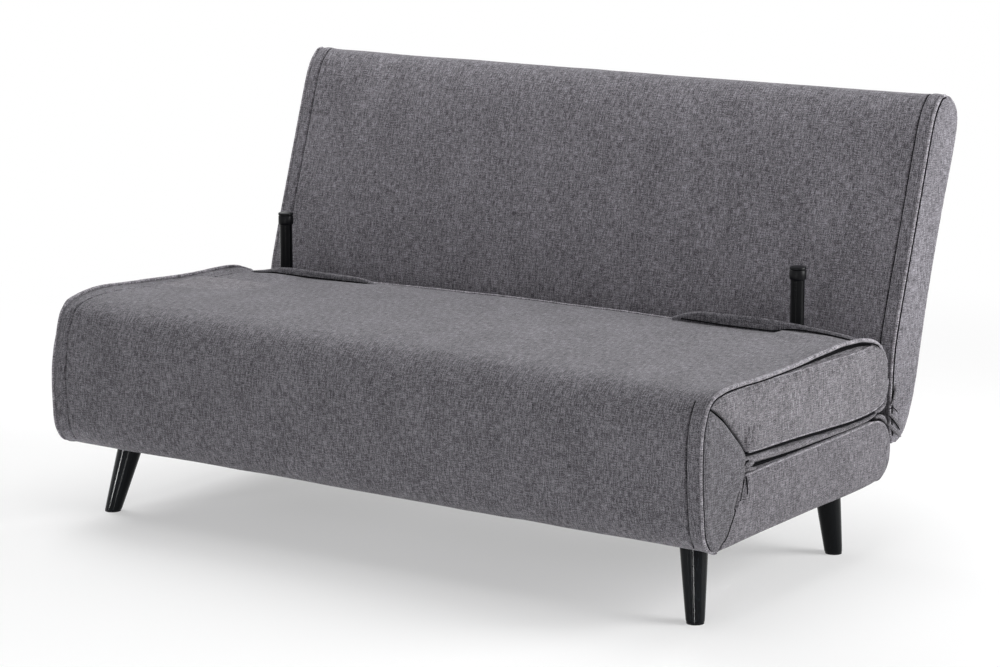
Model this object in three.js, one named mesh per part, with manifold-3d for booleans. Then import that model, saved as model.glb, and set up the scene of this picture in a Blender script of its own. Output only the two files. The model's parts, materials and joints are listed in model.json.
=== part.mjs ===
// A two-seat click clack sofa bed: lower section on four legs, front section, seat section and backrest.
// Millimetres. X runs along the width, Y to the rear, Z up. The floor is at zero height.
import * as THREE from 'three';
import { mergeVertices } from 'three/addons/utils/BufferGeometryUtils.js';
import Module from 'manifold-3d';

// Overall sizes and clearances
const sofaWidth = 1420;
const fitGap = 0.3;
const softGap = 0.5;
const holeGap = 0.3;
const cutOverrun = 2;
const samePoint = 0.01;
const roundSteps = 20;

// Steel tube frames
const tubeSide = 20;
const tubeWall = 1.5;
const railInset = 98;

// Feet, legs and their plates
const glideRadius = 15;
const glideHeight = 4;
const legFootRadius = 17.5;
const legTopRadius = 26;
const legEdge = 3;
const legPlateSide = 78;
const legPlateThickness = 3;
const frontLegFromFront = 77;
const frontLegFromEnd = 63.5;
const frontLegSplayIn = 26;
const frontLegSplayBack = 28;
const rearLegFromRear = 43;
const rearLegFromEnd = 90;
const rearLegSplayIn = 12;
const rearLegSplayForward = 12;

// Underside
const undersideHeight = 140;
const dustCoverThickness = 1.2;
const dustCoverInset = 24;
const dustCoverFront = 80;
const dustCoverFromRear = 46;

// Lower section
const baseRearReach = 15;
const baseFrontThickness = 111;
const baseRearRise = 7;
const baseRearTopRadius = 52;
const baseRearBottomRadius = 42;
const baseRearSlope = 30;
const baseRearMostHeight = 55;

// Fold line inside the seat block
const foldSetback = 45;
const foldRelief = 20;
const hingeRelief = 18;
const hingeReliefEnd = 60;
const apexSetback = 132;
const foldGap = 2.5;

// Upper seat section
const topperThickness = 22;
const topperFromRear = 31;
const topperRadius = 8;
const topperInset = 2;
const seatMattressThickness = 96;
const seatDepth = 623;
const seatRearRadius = 24;
const seatRearUndercut = 34;
const seatPadThickness = 25;
const seatRearRise = 9;
const seatRearRiseStart = 300;
const seatRearTopRadius = 44;
const seatCrown = 5;
const lipFromSupport = 22;
const lipThickness = 8;
const lipHeight = 20;
const lipPeakFromEnd = 165;
const lipInnerFromEnd = 380;
const lipOuterFromEnd = 24;

// Front section
const frontPadThickness = 22;
const frontBulge = 8;
const frontBottomRadius = 40;
const frontTopRadius = 40;
const linkThickness = 5;
const linkWidth = 24;
const linkSpacing = 7.5;
const frontRailFromHinge = 50;

// Cushion ends
const pipingRadius = 5;
const endRecess = 7;
const endRecessRim = 9;
const insetLimitShare = 0.6;
const seamChannelFromEnd = 30;
const seamChannelWidth = 8;
const seamChannelDepth = 3;

// Slats
const slatWidth = 56;
const slatThickness = 8;
const slatBow = 5;
const slatFromEnd = 330;
const slatCount = 3;

// Hinge pins
const pinRadius = 4;
const pinHeadRadius = 8;
const pinHeadThickness = 3;

// Support legs standing up from the seat section
const supportRadius = 12.5;
const supportWall = 1.5;
const supportFromEnd = 133;
const supportFromRear = 101;
const supportBelowRail = 8;
const capRadius = 15;
const capHeight = 25;
const capTopThickness = 4;

// Click clack hinges
const backAxisBehindBase = 2;
const backAxisHeight = 195;
const hingePlateThickness = 4;
const hingeBossRadius = 22;
const hingePlateFoot = 70;
const hingePlateRise = 3;
const armLength = 170;
const toothOuterRadius = 34;
const toothInnerRadius = 30;
const toothCount = 9;
const toothSpan = THREE.MathUtils.degToRad(150);
const toothStart = THREE.MathUtils.degToRad(110);
const pivotRadius = 6;
const pivotHeadRadius = 11;
const pawlPivotForward = 45;
const pawlPivotRise = 26;
const pawlPivotRadius = 3;
const pawlBossRadius = 7;
const pawlTipWidth = 9;
const pawlTipGap = 0.5;
const slotSideGap = 4;
const slotRadiusGap = 3;

// Backrest, along and across its own leaning board
const backLean = THREE.MathUtils.degToRad(18.1);
const backFrontDepth = 65;
const backLength = 640;
const backTopRadius = 58;
const backFlareHeight = 175;
const backFlareRadius = 60;
const backTipHeight = 12;
const backTipDepth = 8;
const backRearDepthLow = 50;
const backRearDepthHigh = 37;
const backRearLowHeight = 90;
const backRearTopDrop = 22;
const backRearRadius = 24;
const backCrown = 6;
const backRailLow = 70;
const backRailFromTop = 50;

// Values worked out from the sizes above
const halfWidth = sofaWidth / 2;
const baseDepth = seatDepth + baseRearReach;
const backAxisY = baseDepth + backAxisBehindBase;
const rearLegY = baseDepth - rearLegFromRear;
const supportX = halfWidth - supportFromEnd;
const supportY = seatDepth - supportFromRear;
const lipRear = supportY - lipFromSupport;
const lipPeakX = halfWidth - lipPeakFromEnd;
const lipInnerX = halfWidth - lipInnerFromEnd;
const lipOuterX = halfWidth - lipOuterFromEnd;
const railX = halfWidth - railInset;
const baseBottom = undersideHeight + dustCoverThickness + fitGap;
const legPlateZ = baseBottom + legPlateThickness / 2;
const baseRailZ = baseBottom + legPlateThickness + fitGap + tubeSide / 2;
const frontLegTop = {
  x: halfWidth - frontLegFromEnd - frontLegSplayIn,
  y: frontLegFromFront + frontLegSplayBack,
};
const rearLegTop = {
  x: halfWidth - rearLegFromEnd - rearLegSplayIn,
  y: rearLegY - rearLegSplayForward,
};
const frontHinge = { y: foldSetback, z: baseRailZ };
const baseTopFront = baseBottom + baseFrontThickness;
const baseTopRear = baseTopFront + baseRearRise;
const topperBottom = baseTopRear + foldGap;
const topperTop = topperBottom + topperThickness;
const mattressBottom = topperTop + fitGap;
const mattressTop = mattressBottom + seatMattressThickness;
const seatRailZ = mattressTop - tubeSide / 2;
const seatHinge = { y: foldSetback, z: seatRailZ };
const seatPadBottom = mattressTop + fitGap;
const seatTop = seatPadBottom + seatPadThickness;
const supportTop = frontHinge.z + seatHinge.z - fitGap;
const baseFrontRailY = frontLegTop.y;
const baseRearRailY = rearLegTop.y;
const seatFrontRailY = 2 * foldSetback;
const seatRearRailY = supportY + supportRadius + fitGap + tubeSide / 2;
const linkX = railX + tubeSide / 2 + linkSpacing + linkThickness / 2;
const hingePlateX = railX + tubeSide / 2 + fitGap + hingePlateThickness / 2;
const armX = hingePlateX + hingePlateThickness + softGap;
const backRailX = armX - hingePlateThickness / 2 - fitGap - tubeSide / 2;
const pawlPivot = { y: backAxisY - pawlPivotForward, z: backAxisHeight + pawlPivotRise };
const frontMost = -frontBulge;
const backRearTopHeight = backLength - backRearTopDrop;
const backRailHigh = backLength - backRailFromTop;
const backPanelFront = tubeSide / 2 + softGap;

// Materials
function material(color, roughness, metalness) {
  return new THREE.MeshStandardMaterial({ color, roughness, metalness });
}
const fabric = material(0x5c5a60, 0.95, 0);
const sideFabric = material(0x6d6b70, 0.95, 0);
const steel = material(0x17181b, 0.4, 0.7);
const zinc = material(0xa8aaad, 0.4, 0.9);
const lacquer = material(0x101114, 0.25, 0);
const plastic = material(0x0e0f11, 0.4, 0);
const beech = material(0xc9a26f, 0.6, 0);
const felt = material(0x2a2a2c, 1, 0);

// Solid joins and cuts
const wasm = await Module();
wasm.setup();

function toSolid(geometry) {
  const bare = geometry.clone();
  bare.deleteAttribute('normal');
  bare.deleteAttribute('uv');
  const merged = mergeVertices(bare);
  const vertProperties = new Float32Array(merged.attributes.position.array);
  const triVerts = new Uint32Array(merged.index.array);
  return new wasm.Manifold(new wasm.Mesh({ numProp: 3, vertProperties, triVerts }));
}

function toGeometry(solid) {
  const mesh = solid.getMesh();
  const geometry = new THREE.BufferGeometry();
  geometry.setAttribute('position', new THREE.BufferAttribute(new Float32Array(mesh.vertProperties), 3));
  geometry.setIndex(new THREE.BufferAttribute(new Uint32Array(mesh.triVerts), 1));
  geometry.computeVertexNormals();
  return geometry;
}

function cut(geometry, ...cutters) {
  return toGeometry(cutters.reduce((solid, cutter) => solid.subtract(toSolid(cutter)), toSolid(geometry)));
}

function join(geometry, ...others) {
  return toGeometry(others.reduce((solid, other) => solid.add(toSolid(other)), toSolid(geometry)));
}

// Outlines in the side view, as lists of depth and height
function corner(y, z, radius = 0, steps = 4) {
  return { y, z, radius, steps };
}

function roundedOutline(corners) {
  const points = [];
  corners.forEach((here, index) => {
    const before = corners[(index + corners.length - 1) % corners.length];
    const after = corners[(index + 1) % corners.length];
    const at = new THREE.Vector2(here.y, here.z);
    const toBefore = new THREE.Vector2(before.y, before.z).sub(at);
    const toAfter = new THREE.Vector2(after.y, after.z).sub(at);
    const half = Math.abs(Math.acos(toBefore.dot(toAfter) / (toBefore.length() * toAfter.length()))) / 2;
    const room = Math.min(toBefore.length(), toAfter.length()) / 2;
    const reach = Math.min(here.radius / Math.tan(half), room);
    if (reach <= 0) {
      points.push([here.y, here.z]);
      return;
    }
    const start = at.clone().addScaledVector(toBefore.normalize(), reach);
    const end = at.clone().addScaledVector(toAfter.normalize(), reach);
    const curve = new THREE.QuadraticBezierCurve(start, at, end);
    curve.getPoints(here.steps).forEach((point) => points.push([point.x, point.y]));
  });
  return counterClockwise(points.filter(([y, z], index) => {
    const [yNext, zNext] = points[(index + 1) % points.length];
    return Math.hypot(yNext - y, zNext - z) > samePoint;
  }));
}

function counterClockwise(points) {
  const area = THREE.ShapeUtils.area(points.map(([y, z]) => new THREE.Vector2(y, z)));
  return area < 0 ? points.slice().reverse() : points;
}

function circleOutline(centre, radius, steps = roundSteps) {
  return Array.from({ length: steps }, (_, index) => {
    const angle = index / steps * 2 * Math.PI;
    return [centre.y + radius * Math.cos(angle), centre.z + radius * Math.sin(angle)];
  });
}

function insetOutline(points, depth) {
  const range = (values) => [Math.min(...values), Math.max(...values)];
  const [yLow, yHigh] = range(points.map(([y]) => y));
  const [zLow, zHigh] = range(points.map(([, z]) => z));
  const shrink = (value, low, high) => {
    const middle = (low + high) / 2;
    return middle + (value - middle) * (1 - Math.min(depth / (high - middle), insetLimitShare));
  };
  return points.map(([y, z]) => [shrink(y, yLow, yHigh), shrink(z, zLow, zHigh)]);
}

// Straight solids along the width
const sideToWidth = new THREE.Matrix4().set(0, 0, 1, 0, 1, 0, 0, 0, 0, 1, 0, 0, 0, 0, 0, 1);

function prism(outline, fromX, toX, hole = null) {
  const shape = new THREE.Shape(outline.map(([y, z]) => new THREE.Vector2(y, z)));
  if (hole) {
    shape.holes.push(new THREE.Path(hole.map(([y, z]) => new THREE.Vector2(y, z)).reverse()));
  }
  const geometry = new THREE.ExtrudeGeometry(shape, { depth: toX - fromX, bevelEnabled: false });
  geometry.applyMatrix4(sideToWidth);
  geometry.translate(fromX, 0, 0);
  return geometry;
}

function cylinderAcross(centre, radius, fromX, toX) {
  return prism(circleOutline(centre, radius), fromX, toX);
}

function boxBetween(low, high) {
  const geometry = new THREE.BoxGeometry(high[0] - low[0], high[1] - low[1], high[2] - low[2]);
  geometry.translate((low[0] + high[0]) / 2, (low[1] + high[1]) / 2, (low[2] + high[2]) / 2);
  return geometry;
}

function squareTube(length) {
  const square = (side) => [[-side / 2, -side / 2], [side / 2, -side / 2], [side / 2, side / 2],
    [-side / 2, side / 2]];
  return prism(square(tubeSide), -length / 2, length / 2, square(tubeSide - 2 * tubeWall));
}

// Padded solids: one ring of points for each place across the width, closed at both ends
function loft(rings) {
  const positions = rings.flatMap(({ x, ring }) => ring.flatMap(([y, z]) => [x, y, z]));
  const count = rings[0].ring.length;
  const indices = [];
  for (let row = 0; row + 1 < rings.length; row += 1) {
    for (let here = 0; here < count; here += 1) {
      const next = (here + 1) % count;
      const low = row * count;
      const high = low + count;
      indices.push(low + here, low + next, high + here, low + next, high + next, high + here);
    }
  }
  const last = (rings.length - 1) * count;
  const flatPoints = (ring) => ring.map(([y, z]) => new THREE.Vector2(y, z));
  const capOf = (ring) => THREE.ShapeUtils.triangulateShape(flatPoints(ring), []);
  capOf(rings[0].ring).forEach(([a, b, c]) => indices.push(c, b, a));
  capOf(rings[rings.length - 1].ring).forEach(([a, b, c]) => indices.push(last + a, last + b, last + c));
  const geometry = new THREE.BufferGeometry();
  geometry.setAttribute('position', new THREE.Float32BufferAttribute(positions, 3));
  geometry.setIndex(indices);
  geometry.computeVertexNormals();
  return geometry;
}

const middleStationShares = [0, 0.24, 0.5, 0.76];

function endStations(half, channel) {
  const stations = middleStationShares.map((share) => ({ x: half * share, inset: 0 }));
  const channelX = half - seamChannelFromEnd;
  if (channel) {
    stations.push({ x: channelX - seamChannelWidth / 2, inset: 0 });
    stations.push({ x: channelX, inset: seamChannelDepth });
    stations.push({ x: channelX + seamChannelWidth / 2, inset: 0 });
  }
  stations.push({ x: half - pipingRadius, inset: 0 });
  stations.push({ x: half, inset: pipingRadius });
  stations.push({ x: half - endRecess, inset: endRecessRim });
  return stations;
}

function cushion(half, outlineAt, channel = false) {
  const right = endStations(half, channel);
  const left = right.slice(1).reverse().map(({ x, inset }) => ({ x: -x, inset }));
  return loft([...left, ...right].map(({ x, inset }) => {
    const outline = counterClockwise(outlineAt(x));
    return { x, ring: inset > 0 ? insetOutline(outline, inset) : outline };
  }));
}

function crownShare(x) {
  const share = Math.min(1, Math.abs(x) / halfWidth);
  return 1 - share * share;
}

// Scene graph helpers
const sofa = new THREE.Group();
const rearMost = Math.max(...backRearOutline().map(([y, z]) => (
  backAxisY + y * Math.cos(backLean) + z * Math.sin(backLean))));
sofa.position.y = -(frontMost + rearMost) / 2;

function add(parent, name, geometry, finish, x = 0, y = 0, z = 0) {
  const mesh = new THREE.Mesh(geometry, finish);
  mesh.name = name;
  mesh.position.set(x, y, z);
  parent.add(mesh);
  return mesh;
}

const sides = [['left', -1], ['right', 1]];

// Rails, each one a square steel tube
function acrossRail(parent, name, railCentreX, y, z) {
  add(parent, name, squareTube(2 * (railCentreX - tubeSide / 2 - fitGap)), steel, 0, y, z);
}

function sideRailGeometry(fromY, toY, hingeY) {
  const tube = squareTube(toY - fromY);
  tube.rotateZ(Math.PI / 2);
  tube.translate(0, (fromY + toY) / 2, 0);
  return cut(tube, cylinderAcross({ y: hingeY, z: 0 }, pinRadius + holeGap, -tubeSide, tubeSide));
}

function foldingFrame(parent, prefix, frontY, rearY, z, upward) {
  const start = foldSetback - tubeSide / 2;
  for (const [side, sign] of sides) {
    const geometry = sideRailGeometry(start, rearY + tubeSide / 2, foldSetback);
    add(parent, `${prefix}_${side}_rail`, geometry, steel, sign * railX, 0, z);
  }
  acrossRail(parent, `${prefix}_front_rail`, railX, frontY, z);
  acrossRail(parent, `${prefix}_rear_rail`, railX, rearY, z);
  slatPlaces().forEach((x, index) => {
    const geometry = slatGeometry(frontY, rearY, upward);
    add(parent, `${prefix}_slat_${index + 1}`, geometry, beech, x, 0, z);
  });
}

// Sprung slats, bowed along their length, from the front rail to the rear rail
function slatPlaces() {
  const outer = halfWidth - slatFromEnd;
  return Array.from({ length: slatCount }, (_, index) => outer * (2 * index / (slatCount - 1) - 1));
}

function slatGeometry(frontY, rearY, upward) {
  const start = frontY + tubeSide / 2 + fitGap;
  const end = rearY - tubeSide / 2 - fitGap;
  const steps = 8;
  const line = (offset) => Array.from({ length: steps + 1 }, (_, index) => {
    const share = index / steps;
    const bow = upward * slatBow * 4 * share * (1 - share);
    return [start + (end - start) * share, bow + offset];
  });
  const outline = [...line(-slatThickness / 2), ...line(slatThickness / 2).reverse()];
  return prism(outline, -slatWidth / 2, slatWidth / 2);
}

// Room in the foam for the frame of a folding section, open towards one face
function frameCutters(frontY, rearY, z, openTo) {
  const low = Math.min(z, openTo) - (openTo < z ? 0 : tubeSide / 2 + softGap);
  const high = Math.max(z, openTo) + (openTo < z ? tubeSide / 2 + softGap : 0);
  const slatLow = Math.min(low, openTo);
  const half = tubeSide / 2 + softGap;
  const cutters = sides.map(([, sign]) => boxBetween(
    [sign * railX - half, foldSetback - half, low], [sign * railX + half, rearY + half, high]));
  for (const y of [frontY, rearY]) {
    cutters.push(boxBetween([-railX, y - half, low], [railX, y + half, high]));
  }
  for (const x of slatPlaces()) {
    cutters.push(boxBetween([x - slatWidth / 2 - softGap, frontY, slatLow],
      [x + slatWidth / 2 + softGap, rearY, high]));
  }
  return cutters;
}

// Riveted hinge pin through a side rail and a link, with a collar between the two
function hingePinGeometry() {
  const railIn = -tubeSide / 2 - fitGap;
  const railOut = tubeSide / 2 + fitGap;
  const linkIn = tubeSide / 2 + linkSpacing - fitGap;
  const linkOut = tubeSide / 2 + linkSpacing + linkThickness + fitGap;
  const profile = [[0, railIn - pinHeadThickness], [pinHeadRadius, railIn - pinHeadThickness],
    [pinHeadRadius, railIn], [pinRadius, railIn], [pinRadius, railOut], [pinHeadRadius, railOut],
    [pinHeadRadius, linkIn], [pinRadius, linkIn], [pinRadius, linkOut], [pinHeadRadius, linkOut],
    [pinHeadRadius, linkOut + pinHeadThickness], [0, linkOut + pinHeadThickness]];
  return new THREE.LatheGeometry(profile.map(([r, h]) => new THREE.Vector2(r, h)), roundSteps);
}

function addHingePins(parent, prefix, hinge) {
  for (const [side, sign] of sides) {
    const geometry = hingePinGeometry();
    geometry.rotateZ(-sign * Math.PI / 2);
    add(parent, `${prefix}_${side}`, geometry, zinc, sign * railX, hinge.y, hinge.z);
  }
}

// Legs: plate, turned tapered leg leaning outwards, glide
function legGeometry(splayX, splayY) {
  const bottom = glideHeight + fitGap;
  const top = undersideHeight + dustCoverThickness;
  const profile = [[0, bottom], [legFootRadius - legEdge, bottom], [legFootRadius, bottom + legEdge],
    [legTopRadius, top - legEdge], [legTopRadius, top], [0, top]];
  const geometry = new THREE.LatheGeometry(profile.map(([r, h]) => new THREE.Vector2(r, h)), roundSteps);
  geometry.rotateX(Math.PI / 2);
  const lean = new THREE.Matrix4().set(
    1, 0, splayX / top, 0,
    0, 1, splayY / top, 0,
    0, 0, 1, 0,
    0, 0, 0, 1,
  );
  return geometry.applyMatrix4(lean);
}

function addLeg(end, side, sign, footX, footY, topPlace) {
  const geometry = legGeometry(sign * topPlace.x - footX, topPlace.y - footY);
  add(sofa, `leg_${end}_${side}`, geometry, lacquer, footX, footY, 0);
  const glide = new THREE.CylinderGeometry(glideRadius, glideRadius, glideHeight, roundSteps);
  glide.rotateX(Math.PI / 2);
  add(sofa, `glide_${end}_${side}`, glide, felt, footX, footY, glideHeight / 2);
  const plate = new THREE.BoxGeometry(legPlateSide, legPlateSide, legPlateThickness);
  add(sofa, `leg_plate_${end}_${side}`, plate, zinc, sign * topPlace.x, topPlace.y, legPlateZ);
}

function addLegs() {
  for (const [side, sign] of sides) {
    addLeg('front', side, sign, sign * (halfWidth - frontLegFromEnd), frontLegFromFront, frontLegTop);
    addLeg('rear', side, sign, sign * (halfWidth - rearLegFromEnd), rearLegY, rearLegTop);
  }
}

function legHoles() {
  return sides.flatMap(([, sign]) => [frontLegTop, rearLegTop].map((place) => {
    const hole = new THREE.CylinderGeometry(legTopRadius + cutOverrun, legTopRadius + cutOverrun,
      legPlateSide, roundSteps);
    hole.rotateX(Math.PI / 2);
    return hole.translate(sign * place.x, place.y, undersideHeight);
  }));
}

function addDustCover() {
  const half = halfWidth - dustCoverInset;
  const sheet = boxBetween([-half, dustCoverFront, undersideHeight],
    [half, baseDepth - dustCoverFromRear, undersideHeight + dustCoverThickness]);
  add(sofa, 'dust_cover', cut(sheet, ...legHoles()), felt);
}

// Lower mattress, with a sloping front face that meets the front wedge
function addBaseMattress() {
  const outline = roundedOutline([
    corner(frontHinge.y + softGap, baseBottom),
    corner(frontHinge.y + softGap, frontHinge.z),
    corner(apexSetback + softGap, baseTopFront, pipingRadius, 2),
    corner(baseDepth - baseRearSlope, baseTopRear, baseRearTopRadius, 5),
    corner(baseDepth, baseBottom + baseRearMostHeight, baseRearSlope, 3),
    corner(baseDepth - baseRearSlope, baseBottom, baseRearBottomRadius, 5),
  ]);
  const cutters = frameCutters(baseFrontRailY, baseRearRailY, baseRailZ, baseBottom - cutOverrun);
  const half = legPlateSide / 2 + softGap;
  for (const [, sign] of sides) {
    for (const place of [frontLegTop, rearLegTop]) {
      cutters.push(boxBetween([sign * place.x - half, place.y - half, baseBottom - cutOverrun],
        [sign * place.x + half, place.y + half, baseBottom + legPlateThickness + softGap]));
    }
    const slotX = hingeSlotRange(sign);
    cutters.push(boxBetween([slotX[0], baseRearRailY - hingePlateFoot - softGap, baseBottom - cutOverrun],
      [slotX[1], baseDepth + cutOverrun, backAxisHeight + toothOuterRadius + slotRadiusGap]));
  }
  cutters.push(cylinderAcross(frontHinge, foldRelief, -sofaWidth, sofaWidth));
  add(sofa, 'base_mattress', cut(cushion(halfWidth - fitGap, () => outline), ...cutters), sideFabric);
}

function hingeSlotRange(sign) {
  const inner = hingePlateX - hingePlateThickness / 2 - pinHeadThickness - slotSideGap;
  const outer = armX + hingePlateThickness / 2 + pinHeadThickness + slotSideGap;
  return sign > 0 ? [inner, outer] : [-outer, -inner];
}

// Front section: two links, two cross rails, an outer pad and an inner wedge
function stadiumOutline(low, high, radius, steps = 8) {
  const arc = (centre, from) => Array.from({ length: steps + 1 }, (_, index) => {
    const angle = from + index / steps * Math.PI;
    return [centre.y + radius * Math.cos(angle), centre.z + radius * Math.sin(angle)];
  });
  return [...arc(high, 0), ...arc(low, Math.PI)];
}

function addFrontFrame(front) {
  for (const [side, sign] of sides) {
    const outline = stadiumOutline(frontHinge, seatHinge, linkWidth / 2);
    const bar = prism(outline, -linkThickness / 2, linkThickness / 2);
    const holes = [frontHinge, seatHinge].map((hinge) => cylinderAcross(hinge, pinRadius + holeGap,
      -linkThickness, linkThickness));
    add(front, `front_link_${side}`, cut(bar, ...holes), steel, sign * linkX);
  }
  const railCentreX = linkX - linkThickness / 2 + tubeSide / 2;
  acrossRail(front, 'front_bottom_rail', railCentreX, frontHinge.y, frontHinge.z + frontRailFromHinge);
  acrossRail(front, 'front_top_rail', railCentreX, seatHinge.y, seatHinge.z - frontRailFromHinge);
}

function hingeReliefs() {
  const half = halfWidth - hingeReliefEnd;
  return [frontHinge, seatHinge].map((hinge) => cylinderAcross(hinge, hingeRelief, -half, half));
}

// Rounded lower front edge, between two depths behind the front face
function lowerFrontArc(fromY, toY, steps) {
  const radius = frontBottomRadius;
  const angleAt = (depth) => Math.PI + Math.acos((radius - Math.min(depth, radius)) / radius);
  return Array.from({ length: steps + 1 }, (_, index) => {
    const angle = angleAt(fromY) + (angleAt(toY) - angleAt(fromY)) * index / steps;
    return [radius + radius * Math.cos(angle), undersideHeight + radius + radius * Math.sin(angle)];
  });
}

function frontBulgeArc(low, high, steps) {
  return Array.from({ length: steps + 1 }, (_, index) => {
    const share = index / steps;
    return [-frontBulge * 4 * share * (1 - share), high + (low - high) * share];
  });
}

function addFrontPads(front) {
  const padTop = seatHinge.z - softGap;
  const padOutline = [
    ...frontBulgeArc(undersideHeight + frontBottomRadius, padTop, 6).slice(0, -1),
    ...lowerFrontArc(0, frontPadThickness, 4),
    [frontPadThickness, padTop],
  ];
  add(front, 'front_pad', cut(cushion(halfWidth, () => padOutline, true), ...hingeReliefs()), fabric);
  const wedgeFront = frontPadThickness + fitGap;
  const wedgeOutline = roundedOutline([
    ...lowerFrontArc(wedgeFront, frontBottomRadius, 3).map(([y, z]) => corner(y, z)),
    corner(frontHinge.y - softGap, undersideHeight),
    corner(frontHinge.y - softGap, frontHinge.z + softGap),
    corner(apexSetback - 2 * softGap, baseTopFront + softGap, pipingRadius, 2),
    corner(apexSetback - 2 * softGap, mattressBottom - softGap, pipingRadius, 2),
    corner(seatHinge.y - softGap, seatHinge.z - softGap),
    corner(wedgeFront, seatHinge.z - softGap),
  ]);
  const linkHalf = linkWidth / 2 + softGap;
  const railHalf = tubeSide / 2 + softGap;
  const railHeights = [frontHinge.z + frontRailFromHinge, seatHinge.z - frontRailFromHinge];
  const cutters = railHeights.map((z) => boxBetween(
    [-linkX, wedgeFront - cutOverrun, z - railHalf], [linkX, frontHinge.y + railHalf, z + railHalf]));
  for (const [, sign] of sides) {
    const half = linkThickness / 2 + softGap;
    cutters.push(boxBetween([sign * linkX - half, wedgeFront - cutOverrun, frontHinge.z - linkHalf],
      [sign * linkX + half, frontHinge.y + linkHalf, seatHinge.z + linkHalf]));
  }
  const wedge = cushion(halfWidth - pipingRadius, () => wedgeOutline);
  add(front, 'front_wedge', cut(wedge, ...hingeReliefs(), ...cutters), sideFabric);
}

// Seat section: soft roll over the top front corner, top pad with raised lips, mattress and topper
function addCornerRoll(seat) {
  const rear = seatHinge.y + softGap - fitGap;
  const bottom = seatHinge.z - softGap + fitGap;
  const outline = roundedOutline([
    corner(rear, bottom),
    corner(rear, seatTop),
    corner(0, seatTop, frontTopRadius, 6),
    corner(0, bottom),
  ]);
  const outlineAt = (x) => outline.map(([y, z]) => [y, z + seatCrown * crownShare(x)
    * Math.max(0, (z - seatHinge.z) / (seatTop - seatHinge.z))]);
  add(seat, 'corner_roll', cut(cushion(halfWidth, outlineAt, true), ...hingeReliefs()), fabric);
}

function lipShare(x) {
  const place = Math.abs(x);
  if (place <= lipInnerX || place >= lipOuterX) {
    return 0;
  }
  return place < lipPeakX ? (place - lipInnerX) / (lipPeakX - lipInnerX)
    : (lipOuterX - place) / (lipOuterX - lipPeakX);
}

function seatPadOutline(x) {
  const lip = lipHeight * Math.sin(lipShare(x) * Math.PI / 2);
  const crown = seatCrown * crownShare(x);
  const rise = seatRearRise * (1 - crownShare(x));
  const rearTop = seatTop + rise;
  return roundedOutline([
    corner(seatHinge.y + softGap, seatPadBottom),
    corner(seatHinge.y + softGap, seatTop + crown),
    corner(seatRearRiseStart, seatTop + crown),
    corner(lipRear - lipThickness, rearTop + crown / 2),
    corner(lipRear - lipThickness / 2, rearTop + crown / 2 + lip),
    corner(lipRear, rearTop + crown / 2 + lip),
    corner(lipRear + lipThickness / 2, rearTop),
    corner(seatDepth - pipingRadius, rearTop, seatRearTopRadius, 5),
    corner(seatDepth - pipingRadius, seatPadBottom),
  ]);
}

function seatPadStations() {
  const extra = [lipInnerX, (lipInnerX + lipPeakX) / 2, lipPeakX, (lipPeakX + lipOuterX) / 2, lipOuterX];
  return extra.map((x) => ({ x, inset: 0 }));
}

function addSeatPad(seat) {
  const right = [...endStations(halfWidth, false).slice(0, 1), ...seatPadStations(),
    ...endStations(halfWidth, false).slice(middleStationShares.length)];
  const left = right.slice(1).reverse().map(({ x, inset }) => ({ x: -x, inset }));
  const rings = [...left, ...right].map(({ x, inset }) => {
    const outline = seatPadOutline(x);
    return { x, ring: inset > 0 ? insetOutline(outline, inset) : outline };
  });
  add(seat, 'seat_pad', cut(loft(rings), ...hingeReliefs(), ...supportHoles()), fabric);
}

function supportHoles() {
  return sides.map(([, sign]) => {
    const radius = supportRadius + softGap;
    const hole = new THREE.CylinderGeometry(radius, radius, supportTop, roundSteps);
    hole.rotateX(Math.PI / 2);
    const bottom = supportBottom() - softGap;
    return hole.translate(sign * supportX, supportY, bottom + supportTop / 2);
  });
}

function addSeatFoam(seat) {
  const mattressOutline = roundedOutline([
    corner(apexSetback + softGap, mattressBottom, pipingRadius, 2),
    corner(seatHinge.y + softGap, seatHinge.z + softGap),
    corner(seatHinge.y + softGap, mattressTop),
    corner(seatDepth - pipingRadius, mattressTop),
    corner(seatDepth, mattressTop - seatRearUndercut, seatRearRadius, 4),
    corner(seatDepth - pipingRadius, mattressBottom, seatRearUndercut, 4),
  ]);
  const cutters = frameCutters(seatFrontRailY, seatRearRailY, seatRailZ, mattressTop + cutOverrun);
  const mattress = cushion(halfWidth - pipingRadius, () => mattressOutline);
  add(seat, 'seat_mattress', cut(mattress, ...cutters, ...hingeReliefs(), ...supportHoles()), sideFabric);
  const topperEnd = seatDepth - topperFromRear;
  const topperOutline = roundedOutline([
    corner(apexSetback + softGap, topperBottom, topperRadius, 2),
    corner(topperEnd, topperBottom, topperRadius, 3),
    corner(topperEnd, topperTop, topperRadius, 3),
    corner(apexSetback + softGap, topperTop, topperRadius, 2),
  ]);
  const topper = cushion(halfWidth - pipingRadius - topperInset, () => topperOutline);
  add(seat, 'seat_topper', topper, sideFabric);
}

// Support legs: steel tubes welded to the rear rail, capped where they will stand on the floor
function supportBottom() {
  return seatRailZ - tubeSide / 2 - supportBelowRail;
}

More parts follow.
